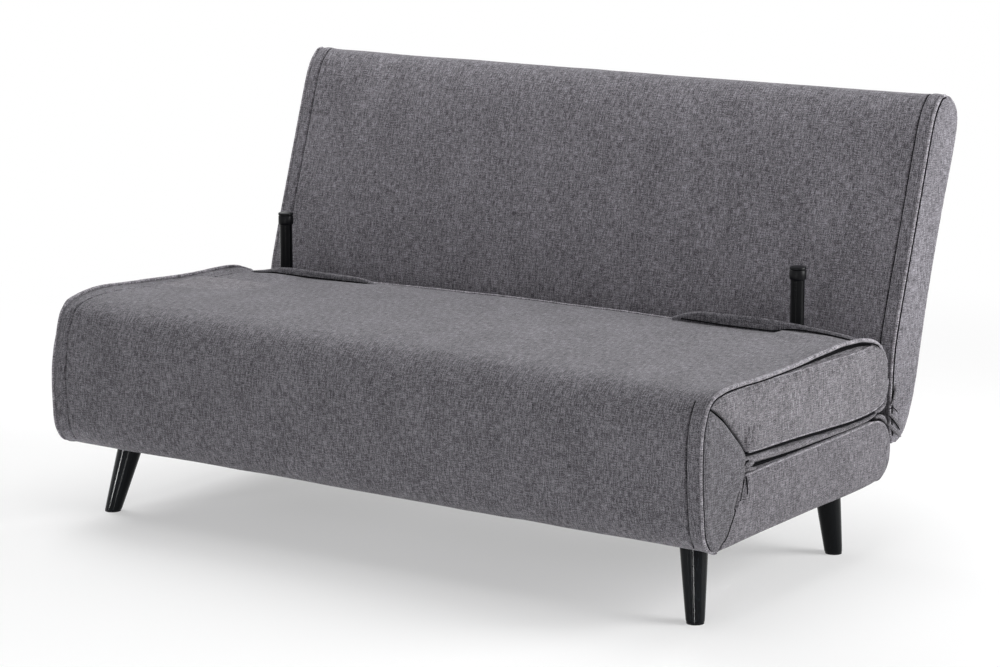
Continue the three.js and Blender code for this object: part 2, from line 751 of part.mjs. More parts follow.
function addSupportLegs(seat) {
  const tubeTop = supportTop - capTopThickness - fitGap;
  const bottom = supportBottom();
  const inner = supportRadius - supportWall;
  const bore = supportRadius + fitGap;
  const tubeProfile = [[inner, bottom], [supportRadius, bottom], [supportRadius, tubeTop], [inner, tubeTop],
    [inner, bottom]];
  const capBottom = supportTop - capHeight;
  const capProfile = [[bore, capBottom], [capRadius, capBottom], [capRadius, supportTop], [0, supportTop],
    [0, supportTop - capTopThickness], [bore, supportTop - capTopThickness], [bore, capBottom]];
  for (const [side, sign] of sides) {
    const pieces = [['support_leg', tubeProfile, steel], ['support_cap', capProfile, plastic]];
    for (const [name, profile, finish] of pieces) {
      const points = profile.map(([r, h]) => new THREE.Vector2(r, h));
      const geometry = new THREE.LatheGeometry(points, roundSteps);
      geometry.rotateX(Math.PI / 2);
      add(seat, `${name}_${side}`, geometry, finish, sign * supportX, supportY);
    }
  }
}

// Click clack hinge: fixed plate, pivot bolt, toothed arm and pawl
function hingePlateGeometry() {
  const half = hingePlateThickness / 2;
  const low = baseRailZ - tubeSide / 2;
  const start = baseRearRailY - hingePlateFoot;
  const outline = roundedOutline([
    corner(start, low, hingePlateRise, 2),
    corner(backAxisY, low, hingeBossRadius, 3),
    corner(backAxisY + hingeBossRadius, backAxisHeight - hingeBossRadius / 2, hingeBossRadius, 4),
    corner(backAxisY + hingeBossRadius / 2, backAxisHeight + hingeBossRadius, hingeBossRadius, 4),
    corner(pawlPivot.y - pawlBossRadius, pawlPivot.z + pawlBossRadius, pawlBossRadius, 3),
    corner(pawlPivot.y - pawlBossRadius, low + tubeSide, hingePlateRise, 2),
    corner(start, low + tubeSide, hingePlateRise, 2),
  ]);
  const axis = { y: backAxisY, z: backAxisHeight };
  return cut(prism(outline, -half, half), cylinderAcross(axis, pivotRadius + holeGap, -half * 2, half * 2));
}

function armGeometry() {
  const half = hingePlateThickness / 2;
  const origin = { y: 0, z: 0 };
  const bar = prism([[-tubeSide / 2, 0], [tubeSide / 2, 0], [tubeSide / 2, armLength],
    [-tubeSide / 2, armLength]], -half, half);
  const disc = cylinderAcross(origin, toothInnerRadius, -half, half);
  const teeth = [];
  for (let index = 0; index < toothCount; index += 1) {
    const from = toothStart + toothSpan * index / toothCount;
    const to = from + toothSpan / toothCount / 2;
    const at = (radius, angle) => [radius * Math.cos(angle), radius * Math.sin(angle)];
    teeth.push([at(toothOuterRadius, from), at(toothInnerRadius - cutOverrun, to),
      at(toothInnerRadius - cutOverrun, from)]);
  }
  const toothed = teeth.map((outline) => prism(counterClockwise(outline), -half, half));
  const bore = cylinderAcross(origin, pivotRadius + holeGap, -half * 2, half * 2);
  return cut(join(bar, disc, ...toothed), bore);
}

function pivotGeometry() {
  const plateIn = -hingePlateThickness / 2 - fitGap;
  const armOut = hingePlateThickness * 3 / 2 + softGap + fitGap;
  const profile = [[0, plateIn - pinHeadThickness], [pivotHeadRadius, plateIn - pinHeadThickness],
    [pivotHeadRadius, plateIn], [pivotRadius, plateIn], [pivotRadius, armOut], [pivotHeadRadius, armOut],
    [pivotHeadRadius, armOut + pinHeadThickness], [0, armOut + pinHeadThickness]];
  return new THREE.LatheGeometry(profile.map(([r, h]) => new THREE.Vector2(r, h)), roundSteps);
}

function pawlGeometry() {
  const half = hingePlateThickness / 2;
  const tip = { y: backAxisY - toothOuterRadius - pawlTipGap, z: backAxisHeight };
  const outline = roundedOutline([
    corner(pawlPivot.y - pawlBossRadius, pawlPivot.z + pawlBossRadius, pawlBossRadius, 4),
    corner(pawlPivot.y + pawlBossRadius, pawlPivot.z + pawlBossRadius, pawlBossRadius, 4),
    corner(pawlPivot.y + pawlBossRadius, pawlPivot.z - pawlBossRadius, pawlBossRadius, 2),
    corner(tip.y, tip.z),
    corner(tip.y - pawlTipWidth, tip.z),
    corner(pawlPivot.y - pawlBossRadius, pawlPivot.z - pawlBossRadius, pawlBossRadius, 2),
  ]);
  const hole = cylinderAcross(pawlPivot, pawlPivotRadius + holeGap, -half * 2, half * 2);
  return cut(prism(outline, -half, half), hole);
}

function addClickClackHinges(back) {
  const outer = armX + hingePlateThickness / 2 - hingePlateX;
  for (const [side, sign] of sides) {
    const stub = [hingePlateThickness / 2 - fitGap, outer].map((reach) => sign * reach);
    const pin = cylinderAcross(pawlPivot, pawlPivotRadius, Math.min(...stub), Math.max(...stub));
    add(sofa, `hinge_plate_${side}`, join(hingePlateGeometry(), pin), zinc, sign * hingePlateX);
    const bolt = pivotGeometry();
    bolt.rotateZ(-sign * Math.PI / 2);
    add(sofa, `back_pivot_${side}`, bolt, zinc, sign * hingePlateX, backAxisY, backAxisHeight);
    add(sofa, `pawl_${side}`, pawlGeometry(), zinc, sign * armX);
    add(back, `back_arm_${side}`, armGeometry(), zinc, sign * armX);
  }
}

// Backrest: four rails, a front cushion that wraps round them and a padded rear panel
function addBackFrame(back) {
  for (const [side, sign] of sides) {
    const tube = squareTube(backRailHigh - backRailLow + tubeSide);
    tube.rotateY(Math.PI / 2);
    add(back, `back_${side}_rail`, tube, steel, sign * backRailX, 0, (backRailLow + backRailHigh) / 2);
  }
  acrossRail(back, 'back_bottom_rail', backRailX, 0, backRailLow);
  acrossRail(back, 'back_top_rail', backRailX, 0, backRailHigh);
}

function backSlots() {
  return sides.map(([, sign]) => {
    const [from, to] = hingeSlotRange(sign);
    return cylinderAcross({ y: 0, z: 0 }, toothOuterRadius + slotRadiusGap, from, to);
  });
}

function backFrameCutters(depth) {
  const half = tubeSide / 2 + softGap;
  const low = backRailLow - half;
  const high = backRailHigh + half;
  const cutters = [backRailLow, backRailHigh].map((z) => boxBetween(
    [-backRailX, -half, z - half], [backRailX, depth, z + half]));
  for (const [, sign] of sides) {
    cutters.push(boxBetween([sign * backRailX - half, -half, low], [sign * backRailX + half, depth, high]));
    const armHalf = hingePlateThickness / 2 + softGap;
    cutters.push(boxBetween([sign * armX - armHalf, -half, 0],
      [sign * armX + armHalf, depth, armLength + softGap]));
  }
  return cutters;
}

function backRearOutline() {
  return roundedOutline([
    corner(backPanelFront + fitGap, backTipHeight, pipingRadius, 2),
    corner(backPanelFront + pipingRadius, backTipHeight, pipingRadius, 2),
    corner(backRearDepthLow, backRearLowHeight, backRearRadius, 4),
    corner(backRearDepthHigh, backRearTopHeight, backRearRadius, 4),
    corner(backPanelFront + fitGap, backLength - pipingRadius),
  ]);
}

function addBackCushions(back) {
  const frontOutline = roundedOutline([
    corner(backPanelFront, backTipHeight, pipingRadius, 2),
    corner(-backTipDepth, backTipHeight, pipingRadius, 2),
    corner(-backFrontDepth, backFlareHeight, backFlareRadius, 5),
    corner(-backFrontDepth, (backFlareHeight + backLength) / 2),
    corner(-backFrontDepth, backLength, backTopRadius, 6),
    corner(backPanelFront, backLength - pipingRadius),
  ]);
  const crownAt = (x, z) => backCrown * crownShare(x) * Math.sin(Math.PI
    * THREE.MathUtils.clamp((z - backFlareHeight) / (backLength - backFlareHeight), 0, 1));
  const outlineAt = (x) => frontOutline.map(([y, z]) => [y < 0 ? y - crownAt(x, z) : y, z]);
  const front = cushion(halfWidth, outlineAt, true);
  const cutters = [...backSlots(), ...backFrameCutters(backPanelFront + cutOverrun)];
  add(back, 'back_cushion', cut(front, ...cutters), fabric);
  const rearOutline = backRearOutline();
  const rear = cushion(halfWidth - fitGap, () => rearOutline);
  add(back, 'back_rear_panel', cut(rear, ...backSlots()), sideFabric);
}

// Assembly
const front = new THREE.Group();
const seat = new THREE.Group();
const back = new THREE.Group();
back.position.set(0, backAxisY, backAxisHeight);
back.rotation.x = -backLean;
sofa.add(front, seat, back);

addLegs();
addDustCover();
foldingFrame(sofa, 'base', baseFrontRailY, baseRearRailY, baseRailZ, 1);
addBaseMattress();
addHingePins(sofa, 'front_hinge_pin', frontHinge);
addFrontFrame(front);
addFrontPads(front);
addHingePins(front, 'seat_hinge_pin', seatHinge);
foldingFrame(seat, 'seat', seatFrontRailY, seatRearRailY, seatRailZ, -1);
addSeatFoam(seat);
addSeatPad(seat);
addCornerRoll(seat);
addSupportLegs(seat);
addClickClackHinges(back);
addBackFrame(back);
addBackCushions(back);

export default sofa;
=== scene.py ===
# Looks of the click clack sofa bed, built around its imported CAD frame.
# Sizes below are millimetres in the seat's own frame: y runs back from the seat's front, z up from the floor.
import json
import math

import bmesh
import bpy
import numpy as np
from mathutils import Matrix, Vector

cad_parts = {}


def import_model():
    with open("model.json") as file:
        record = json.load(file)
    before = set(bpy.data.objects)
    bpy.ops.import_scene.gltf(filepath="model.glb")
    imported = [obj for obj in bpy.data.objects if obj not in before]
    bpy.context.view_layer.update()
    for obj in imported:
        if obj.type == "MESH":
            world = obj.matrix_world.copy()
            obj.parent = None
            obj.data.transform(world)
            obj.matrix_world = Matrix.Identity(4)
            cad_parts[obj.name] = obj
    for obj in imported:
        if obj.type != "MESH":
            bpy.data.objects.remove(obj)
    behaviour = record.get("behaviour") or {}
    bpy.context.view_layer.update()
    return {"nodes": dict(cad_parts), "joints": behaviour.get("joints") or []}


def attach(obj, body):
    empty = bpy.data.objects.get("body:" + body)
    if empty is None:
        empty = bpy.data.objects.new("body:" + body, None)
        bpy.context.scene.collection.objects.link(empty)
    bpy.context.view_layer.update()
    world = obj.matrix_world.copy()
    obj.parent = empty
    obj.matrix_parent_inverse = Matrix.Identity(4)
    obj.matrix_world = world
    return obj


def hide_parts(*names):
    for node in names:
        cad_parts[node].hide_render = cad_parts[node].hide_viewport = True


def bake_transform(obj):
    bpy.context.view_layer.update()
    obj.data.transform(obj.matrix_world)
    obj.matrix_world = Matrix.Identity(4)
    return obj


SIDES = ((-1, "left"), (1, "right"))
MM_PER_M = 1000
TINY = 1e-9

# Places shared with the CAD model
HALF = 710.0
PANEL_X = 702.0
COVER_X = 706.0
STRIP_X = 677.0
BAND_X = 698.0
BACK_PANEL_X = 703.0
LOW_HINGE = (45.0, 154.8)
HIGH_HINGE = (45.0, 370.3)
BACK_AXIS = np.array([640.0, 195.0])
BACK_LEAN = math.radians(18.1)
BACK_ACROSS = np.array([math.cos(BACK_LEAN), -math.sin(BACK_LEAN)])
BACK_UP = np.array([math.sin(BACK_LEAN), math.cos(BACK_LEAN)])
SUPPORT_X, SUPPORT_Y = 577.0, 522.0

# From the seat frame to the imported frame, set by the low hinge once the frame is loaded
ORIGIN_SHIFT = np.zeros(3)

# Camera: place in the seat frame, downward tilt and turn in degrees, lens, sensor and reach in metres
CAMERA_PLACE = (3207.9, -4134.2, 1467.9)
CAMERA_TILT, CAMERA_TURN = 11.246, 35.08
CAMERA_LENS, CAMERA_SENSOR, CAMERA_REACH = 110.82, 36.0, 100

# Floor size and the distances between which it goes over to plain white, in metres
FLOOR_SIZE = 40.0
FLOOR_NEAR, FLOOR_FAR = 1.0, 2.8
FLOOR_GLOW_SHARE = 0.42

# Meshes: points along half an end ring, along the top cover and along half the band's ring, weld distance,
# and angles from which an edge is sharp
RING_COUNT = 150
COVER_COUNT = 190
BAND_COUNT = 110
WELD = 0.02
SHARP_ANGLE, TURNED_SHARP_ANGLE = 52, 40

# Places across the width: distances from each end, then even steps, and places beside a seam line
END_STEPS = (0, 1.2, 2.6, 4.4, 7, 10.5, 15, 21, 28)
LINE_STEPS = (-7, -4.4, -2.8, -1.7, -0.8, 0, 0.8, 1.7, 2.8, 4.4, 7)
INNER_MARGIN, INNER_STEP, LINE_CLEARANCE = 36, 11.0, 8

# Side outlines of the top cover, as depth and height, from under the front to the rear seam
COVER_MIDDLE = [
    (29, 138.8), (24, 141.5), (13, 152.5), (5, 168), (0, 184), (-6, 218), (-9, 255), (-10, 290), (-9, 325),
    (-4, 352), (5, 374), (18, 391), (36, 403), (60, 409), (100, 412), (160, 413.5), (230, 414), (300, 414),
    (370, 413.5), (430, 412.5), (482, 410.5), (510, 409), (526, 406.5), (533, 399)]
COVER_LEFT_LINE = [
    (29, 137.4), (23, 140), (10, 151), (1, 166), (-5, 182), (-9, 218), (-11, 255), (-9, 290), (-5, 325),
    (1, 350), (9, 370), (19, 390), (38, 402), (70, 409), (110, 411), (149, 411), (200, 407.5), (251, 403.5),
    (300, 400.5), (356, 397.5), (400, 396), (441, 395.5), (490, 393), (510, 391.5), (530, 389), (545, 384),
    (556, 377)]
COVER_LEFT_END = [
    (44, 134.4), (34, 134.6), (22, 139), (8, 150), (-2, 165), (-8, 182), (-11, 218), (-12, 255), (-10, 290),
    (-4, 325), (2, 345), (8, 368), (17, 388), (32, 400), (54, 407), (96, 413.5), (138, 414.5), (180, 412.5),
    (223, 409.5), (266, 407.5), (309, 405), (354, 402.5), (398, 401.5), (444, 401.5), (490, 400.5),
    (520, 398), (536, 395), (556, 389), (575, 380)]
COVER_RIGHT_LINE = [
    (30, 138.6), (24, 141), (13, 152), (4, 168), (0, 184), (-5, 218), (-8, 255), (-9, 290), (-8, 325),
    (-4, 350), (4, 372), (15, 388), (31, 398), (52, 402.5), (90, 404), (150, 404), (220, 404), (290, 405),
    (363, 408), (430, 411), (482, 412), (510, 410), (526, 407), (538, 402), (545, 396)]
COVER_RIGHT_END = [
    (44, 134.4), (35, 134.6), (24, 139), (13, 150), (3, 167), (-1, 184), (-5, 218), (-8, 255), (-9, 290),
    (-8, 325), (-4, 350), (3, 370), (13, 386), (28, 396.5), (50, 401), (67, 403.5), (115, 404), (179, 403),
    (245, 404), (312, 406.5), (381, 410.5), (430, 413.5), (450, 414), (493, 412), (518, 410.5),
    (545, 405.5), (570, 399), (588, 391), (595, 386)]

# Side outlines of the cushions: an upper and a lower path with the same two ends, at the sewn end and
# inside it
SEAT_UPPER = [
    (17.5, 382.5), (26, 390), (50, 396), (77, 398), (115, 399.5), (179, 400), (245, 399), (274, 398),
    (322, 397), (396, 396), (472, 394.5), (530, 394.5), (560, 396.5), (582, 395.5), (605, 386), (621, 370),
    (629, 350), (630, 330)]
SEAT_LOWER = [
    (17.5, 382.5), (44, 368), (69, 350.5), (97.5, 325), (121, 303.5), (137, 286), (160, 283), (240, 281),
    (322, 278.5), (420, 274.5), (498, 272), (550, 273), (590, 277), (612, 284), (624, 297), (629, 312),
    (630, 330)]
SEAT_UPPER_INSIDE = [
    (50, 369), (51, 383), (58, 394), (77, 401), (115, 403), (179, 403), (245, 403), (312, 403),
    (381, 402.5), (430, 402), (481, 401.5), (505, 402), (530, 406.5), (548, 404.5), (572, 396), (596, 382),
    (612, 364), (618, 346), (620, 330)]
SEAT_LOWER_INSIDE = [
    (50, 369), (60, 364), (72, 355), (101, 329), (126, 306), (141, 288.5), (160, 286.5), (240, 286),
    (400, 285.5), (560, 285.5), (590, 287), (606, 295), (614, 308), (619, 320), (620, 330)]
FRONT_OUTER = [
    (47, 136), (38, 136), (26, 141), (15, 152), (6, 169), (2, 184), (-2, 218), (-5, 255), (-6, 290),
    (-5, 325), (-1, 350), (6, 370), (17, 383)]
FRONT_INNER = [
    (47, 136), (62, 144), (77, 160.5), (92, 182.5), (105, 200.5), (117, 225), (127, 242), (131, 252),
    (133, 263), (133.5, 275), (133.5, 285), (120.5, 302.5), (97, 324), (68.5, 349.5), (43, 367), (17, 383)]
FRONT_OUTER_INSIDE = [
    (40, 143), (36, 143), (28, 148), (18, 159), (10, 174), (6, 188), (1, 218), (-2, 255), (-3, 290),
    (-2, 325), (2, 348), (9, 366), (22, 376)]
FRONT_INNER_INSIDE = [
    (40, 143), (64, 171), (86, 201), (99, 223), (112, 244), (120, 254), (129, 262), (131, 273), (129, 283),
    (114, 300), (90, 322), (62, 346), (41, 363), (22, 376)]
BASE_UPPER = [
    (47, 135.5), (62, 143.5), (77, 160), (92, 182), (105, 200), (117, 225), (127, 243), (136, 249),
    (160, 250), (203, 251), (274, 252), (422, 253.5), (545, 256), (577, 256.5), (603, 252), (622, 242),
    (634, 226), (641, 207), (642, 190)]
BASE_LOWER = [
    (47, 135.5), (90, 135.5), (123, 136.5), (200, 138), (255, 138.5), (400, 140), (499, 139.5),
    (579, 142.5), (606, 147), (626, 158), (638, 173), (642, 190)]
BASE_UPPER_INSIDE = [
    (64, 150), (77, 164), (99, 193), (112, 215), (125, 237), (132, 248), (146, 252.5), (200, 254),
    (300, 255.5), (450, 257.5), (545, 259), (575, 255), (602, 244), (622, 228), (635, 208), (638, 190)]
BASE_LOWER_INSIDE = [
    (64, 150), (73, 142), (90, 138.5), (200, 139.5), (400, 140.5), (552, 141), (595, 146), (620, 159),
    (634, 175), (638, 190)]
BAND_UPPER = [
    (128, 270), (134, 276.5), (146, 278), (161, 277), (240, 273.5), (328, 270), (430, 266), (504, 264),
    (560, 265.5), (592, 271), (608, 278)]
BAND_LOWER = [
    (128, 270), (134, 265), (146, 263.5), (161, 262.5), (279, 257.5), (428, 256), (504, 256), (560, 258),
    (592, 264), (608, 278)]
BAND_UPPER_INSIDE = [
    (128, 273), (132, 280), (144, 284), (200, 284.5), (400, 284), (560, 284), (588, 284), (600, 280)]
BAND_LOWER_INSIDE = [
    (128, 273), (132, 266), (144, 262.5), (200, 261.5), (400, 262), (560, 263), (588, 266), (600, 280)]

# Backrest outlines in its own leaning frame, from the bottom tip to the top
BACK_FRONT = [
    (4, 8), (-10, 24), (-27, 60), (-43, 105), (-55, 145), (-61, 185), (-63, 240), (-63, 340), (-63, 440),
    (-63, 530), (-62, 576), (-58, 599), (-51, 614), (-42, 627), (-26, 634)]
BACK_REAR = [
    (4, 8), (17, 13), (31, 24), (41, 38), (47, 60), (50, 93), (49, 137), (44, 200), (40, 262), (38, 311),
    (37, 400), (38, 462), (41, 533), (41, 576), (38, 598), (31, 613), (19, 624), (4, 631), (-11, 634.5),
    (-26, 634)]
BACK_FRONT_MIDDLE = [
    (4, 8), (-8, 26), (-27, 66), (-45, 110), (-59, 150), (-67, 185), (-71, 240), (-73, 340), (-72, 440),
    (-70, 530), (-66, 565), (-60, 590), (-50, 611), (-38, 626), (-22, 634)]
BACK_REAR_MIDDLE = [
    (4, 8), (17, 13), (31, 24), (41, 38), (47, 60), (51, 93), (51, 137), (47, 200), (44, 262), (42, 311),
    (40, 400), (38, 462), (35, 533), (32, 575), (28, 600), (21, 615), (11, 626), (-1, 632), (-10, 634.5),
    (-22, 634)]

# Folds of the end panels in the side view: start, end, width and height
SEAT_FOLDS = (
    ((139, 292), (134, 352), 3.2, 4.4), ((149, 288), (158, 340), 3.2, -4.2),
    ((131, 300), (118, 366), 3.4, -2.6), ((164, 288), (184, 328), 4.5, 2.0),
    ((600, 290), (560, 320), 6.0, -1.8), ((606, 300), (580, 345), 6.0, 1.5))
FRONT_FOLDS = (
    ((124, 240), (104, 192), 3.2, -4.0), ((113, 246), (92, 208), 4.0, 2.0),
    ((131, 268), (106, 268), 4.0, -1.6))
BASE_FOLDS = (
    ((126, 246), (106, 190), 3.2, 4.0), ((134, 244), (122, 184), 3.2, -4.4),
    ((143, 246), (146, 200), 4.0, 1.8), ((628, 226), (586, 206), 5.0, 1.8),
    ((632, 214), (600, 182), 4.0, -1.8), ((622, 236), (570, 226), 5.0, -1.4))
BACK_FOLDS = (
    ((652, 250), (636, 300), 5.0, 2.2), ((664, 240), (672, 290), 5.0, -2.2),
    ((640, 236), (668, 214), 3.4, -3.2), ((646, 262), (690, 262), 4.0, -2.0),
    ((650, 222), (676, 206), 3.4, 2.4))

# Front wedge: how much further out it gets by the millimetre, and the heights between which it begins
WEDGE = 0.09
WEDGE_BEGINS = (205, 250)

# Seams and piping along the cushions' ends, and on the backrest a near-black cord that paints the shadow
# beside its piping: name, whether it follows the lower path, first and last point, radius, material, how far
# out and up it stands, and how far both of its ends go down into the cushion
SEAT_CORDS = (
    ("seat_seam", False, 10, RING_COUNT - 6, 1.5, "piping_fabric", 0.6, 0, 0),
    ("seat_lower_seam", True, 34, RING_COUNT - 2, 1.9, "piping_fabric", 1.6, 0, 0))
BASE_CORDS = (
    ("base_seam", False, 30, RING_COUNT - 2, 2.0, "piping_fabric", 0.8, 0, 0),
    ("base_rear_piping", False, RING_COUNT - 18, RING_COUNT + 22, 3.0, "lower_side_fabric", -1.5, 2.0, 7.0))
BACK_CORDS = (
    ("back_piping", False, 4, RING_COUNT - 1, 2.8, "piping_fabric", 1.0, 0.6, 0),
    ("back_edge_shadow", False, 4, RING_COUNT - 1, 1.4, "lining", 3.3, -3.6, 0),
    ("back_rear_seam", True, 2, RING_COUNT, 1.6, "piping_fabric", 0.8, 0.4, 0))

# Top cover: how its shape goes over from the middle to the seam line, its waves, and the places between which
# its foot, its top corner, its flange and its rear begin
SPREAD_POWER = 1.6
COVER_WAVES = ((190, 21, 1.1), (70, 22, 0.7), (30, 23, 0.25))
COVER_FOOT, COVER_CORNER, COVER_FLANGE, COVER_REAR = (142, 156), (394, 372), (392, 402), (545, 533)
FRONT_DEPTH = 60

# Rows of the cover's tucked edge: place across, how far in, and how much further in on the top
TUCKS = ((706.4, 1.4, 0), (705.2, 2.8, 0), (701.5, 4.2, 0), (695, 5.0, 0), (691.5, 7.0, 0), (690, 8.5, 17))
TUCK_TOP = (394, 402)

# Heights between which the border seam's dark line shows, how far it stands out, and its radius; the line is
# its stitches and painted shade in the seam's groove
STITCHES_AND_SHADE_FROM, STITCHES_AND_SHADE_TO = 146, 392
STITCH_AND_SHADE_LIFT, STITCH_AND_SHADE_RADIUS = 0.9, 0.8

# Piping of the cover's sewn end, and the dark line under it: its stitches and painted shade where the piping
# overhangs
WELT_X, WELT_RADIUS, FLANGE_RADIUS_MORE, WELT_FOOT_RISE = 706.8, 2.5, 1.1, 7
WELT_THREAD_AND_SHADE_X, WELT_THREAD_AND_SHADE_LIFT, WELT_THREAD_AND_SHADE_RADIUS = 708.2, -2.3, 1.25
REAR_SEAM_RADIUS, REAR_SEAM_RISE = 2.4, 1.0

# Lips by the support tubes, along the width: place across, heights of crest and crease, and depth
LIPS = {
    1: ((330, 415, 414, 508), (345, 421, 414, 508), (365, 427, 413.5, 508), (392, 431, 413, 508),
        (436, 432, 412, 507), (481, 433, 412, 507), (525, 433, 412.5, 507), (545, 432, 413, 507),
        (557, 431, 416, 508), (575, 430, 419, 510), (597, 428, 419.5, 512), (625, 425, 418, 515),
        (650, 422, 416, 517), (675, 419, 413, 518), (700, 415, 410, 518)),
    -1: ((345, 403, 403, 509), (364, 411, 403, 508), (400, 413, 402.5, 508), (452, 413.5, 402, 507),
         (507, 414, 401, 507), (560, 414, 401, 508), (580, 412, 401, 509), (600, 408, 400, 512),
         (630, 402, 397, 515), (660, 397, 394, 518)),
}
LIP_THICK, LIP_POINTS, LIP_STATIONS = 3.4, 18, 110

# Sag of the seat's left rear: its depth, and the depths and heights between which it begins
SAG, SAG_BEHIND, SAG_ABOVE = 18, (380, 470), (340, 370)

# Backrest: hollow of its seams by place from the end, width and depth, its raised tips, and its twist
BACK_DENTS = ((33, 1.6, 5.0), (19, 8, -1.4), (44, 8, -0.9))
BACK_RAISED, BACK_TIP_RAISED, BACK_TIP, BACK_TOP = 6.0, 2.5, (48, 22), (560, 630)
BACK_SEAM_BEGINS, BACK_TWIST, TWIST_REACH = (40, 80), 6.5, 150

# Near-black cords that paint the shade in the gaps and creases between the panels: body, distance from the
# middle, radius, side path
PAINTED_SHADE_LINES = (
    ("seat_section", 699.3, 3.0, (
        (131, 283), (150, 281), (240, 277.8), (330, 274.5), (430, 270.5), (504, 268.5), (560, 269.5),
        (592, 274), (606, 280))),
    ("seat_section", 695.0, 2.6, (
        (131, 259), (146, 257.5), (203, 255.5), (279, 254.5), (428, 254.8), (504, 255.8), (560, 257),
        (590, 261), (606, 266))),
    ("front_section", 700.3, 0.9, ((20, 382), (32, 375.3), (46, 366.8))),
    ("seat_section", 700.3, 1.1, ((46, 366.8), (57, 359.8), (69, 351), (97, 325.5), (120, 304), (134, 286))),
    ("base", 699.5, 1.8, ((130, 249), (124, 240), (117, 227), (110, 212), (104, 200), (92, 183))),
    ("base", 702.5, 2.0, ((124, 232), (127, 240), (129, 247), (133, 254), (138, 256))),
    ("seat_section", 702.5, 2.2, ((128, 262), (132, 267), (138, 270.5), (146, 271))),
    ("seat_section", 700.0, 3.0, (
        (78, 401.3), (90, 401.5), (150, 402), (226, 401), (312, 401.5), (381, 403), (471, 404.5),
        (540, 402), (575, 396), (590, 391))),
    ("backrest", 709.5, 1.0, ((627, 257), (640, 249), (654, 238), (667, 226))),
    ("backrest", 709.0, 0.9, ((628, 271), (637, 272), (646, 268), (656, 261))),
    ("backrest", 709.0, 0.8, ((630, 280), (637, 289), (642, 301))),
    ("base", 707.0, 1.1, ((132, 248), (135, 240), (137, 230), (138, 216))),
    ("base", 706.2, 1.0, ((128, 243), (125, 233), (121, 223), (117, 209))),
)
SHADE_LINE_POINTS = 80

# Small gathers where three panels meet, as side paths with a body and a radius, and their places across
GATHERS = (
    ("seat_section", 4.2, ((131, 262), (138, 263.5), (150, 265), (164, 266))),
    ("base", 3.2, ((130, 255), (140, 257), (153, 256), (172, 254))),
    ("front_section", 3.6, ((127, 248), (120, 234), (113, 218), (108, 204))),
    ("base", 3.4, ((134, 250), (129, 238), (122, 222), (116, 206))),
    ("base", 4.0, ((586, 262), (600, 262), (614, 256), (628, 244))),
    ("seat_section", 3.8, ((584, 272), (600, 274), (614, 280), (624, 292))),
    ("backrest", 4.4, ((628, 262), (640, 254), (654, 243), (668, 230))),
    ("backrest", 4.0, ((626, 244), (642, 233), (658, 222), (674, 212))),
    ("backrest", 3.4, ((632, 276), (640, 284), (646, 296), (650, 310))),
)
GATHER_X, GATHER_BACK_X, GATHER_SWELL, GATHER_POINTS = 701.5, 706.5, 2.6, 14

# Ways along and across the two folds, and reaches for bends there, which the code works out but never bends
# anything with
LOW_ALONG, LOW_ACROSS = (0.654, 0.756), (0.756, -0.654)
HIGH_ALONG, HIGH_ACROSS = (0.731, -0.682), (0.682, 0.731)
BEND_REACH, CLOTH_BEND_REACH = 45.0, 4

# Cloths in the folds: hinge, ways along and across, reach of their two ridges and of the fold between them,
# points at both ends, and bodies
FOLD_CLOTHS = {
    "low_fold_cloth": (LOW_HINGE, LOW_ALONG, LOW_ACROSS, 124, 85,
                       ([(190, 252.5)], [(130.5, 262), (130.5, 276)]), ("base", "front_section")),
    "high_fold_cloth": (HIGH_HINGE, HIGH_ALONG, HIGH_ACROSS, 118, 78,
                        ([(190, 287.5)], [(130.5, 274), (130.5, 264)]), ("seat_section", "front_section")),
}
CLOTH_HALF, CLOTH_GAP, CLOTH_COLUMNS, CLOTH_ROWS = 690, 3, 60, 48

# Turned pieces as radius and height, foot and top of each leg, and how much higher than the CAD's the tubes
# stand: both, and the right one more and the left one less
LEG_PROFILE = (
    (0, 4.3), (12.6, 4.3), (12.8, 1.6), (14.2, 1.4), (15.4, 2.6), (16.0, 4.8), (16.3, 8), (17.9, 30),
    (20.6, 70), (23.5, 115), (25.2, 137), (25.4, 141.2), (24.2, 142.2), (0, 142.2))
TUBE_PROFILE = ((0, 356), (12.5, 356), (12.5, 519.5), (11, 519.5), (11, 360), (0, 360))
CAP_PROFILE = (
    (12.6, 501.2), (13.4, 501.2), (14.6, 502.4), (14.9, 504), (14.7, 517.8), (13.9, 518.8), (14.1, 519.9),
    (15, 520.7), (15, 522.8), (14.1, 524.2), (12, 524.8), (0, 524.8))
LEGS = {"front": ((646.5, 77), (620.5, 111)), "rear": ((620, 595), (608, 583))}
TUBES_RISE, RIGHT_TUBE_RISE = 0.5, 4.5
TURNED_SIDES, TUBE_SIDES, TURNED_MAP_RADIUS = 56, 40, 20

# Linear colours of the fabric's darkest, middle and lightest yarns, and per panel a factor on them: lighter
# and darker copies of the one fabric that paint the light and shade each panel gets, and on the piping a
# painted highlight
YARNS = ((0.040, 0.038, 0.041), (0.128, 0.124, 0.131), (0.300, 0.293, 0.306))
PANEL_LIGHT_AND_SHADE = {
    "cover_fabric": (0.94, 0.93, 0.98), "back_fabric": (1.17, 1.15, 1.215), "side_fabric": (1.14, 1.12, 1.16),
    "lower_side_fabric": (0.96, 0.94, 0.985), "front_side_fabric": (0.83, 0.82, 0.86),
    # the piping's much lighter copy paints the highlight along its ridge
    "piping_fabric": (1.75, 1.72, 1.79),
}
YARN_STOPS = (0.2, 0.48, 0.8)
FABRIC_ROUGHNESS = 0.93
THREADS_PER_METRE = 620
THREAD_RELIEF, UNEVEN_RELIEF, FABRIC_BUMP = 0.3, 1.2, (0.5, 0.0012)
FABRIC_SHEEN = {"Sheen Weight": 0.12, "Sheen Roughness": 0.45, "Specular IOR Level": 0.2}

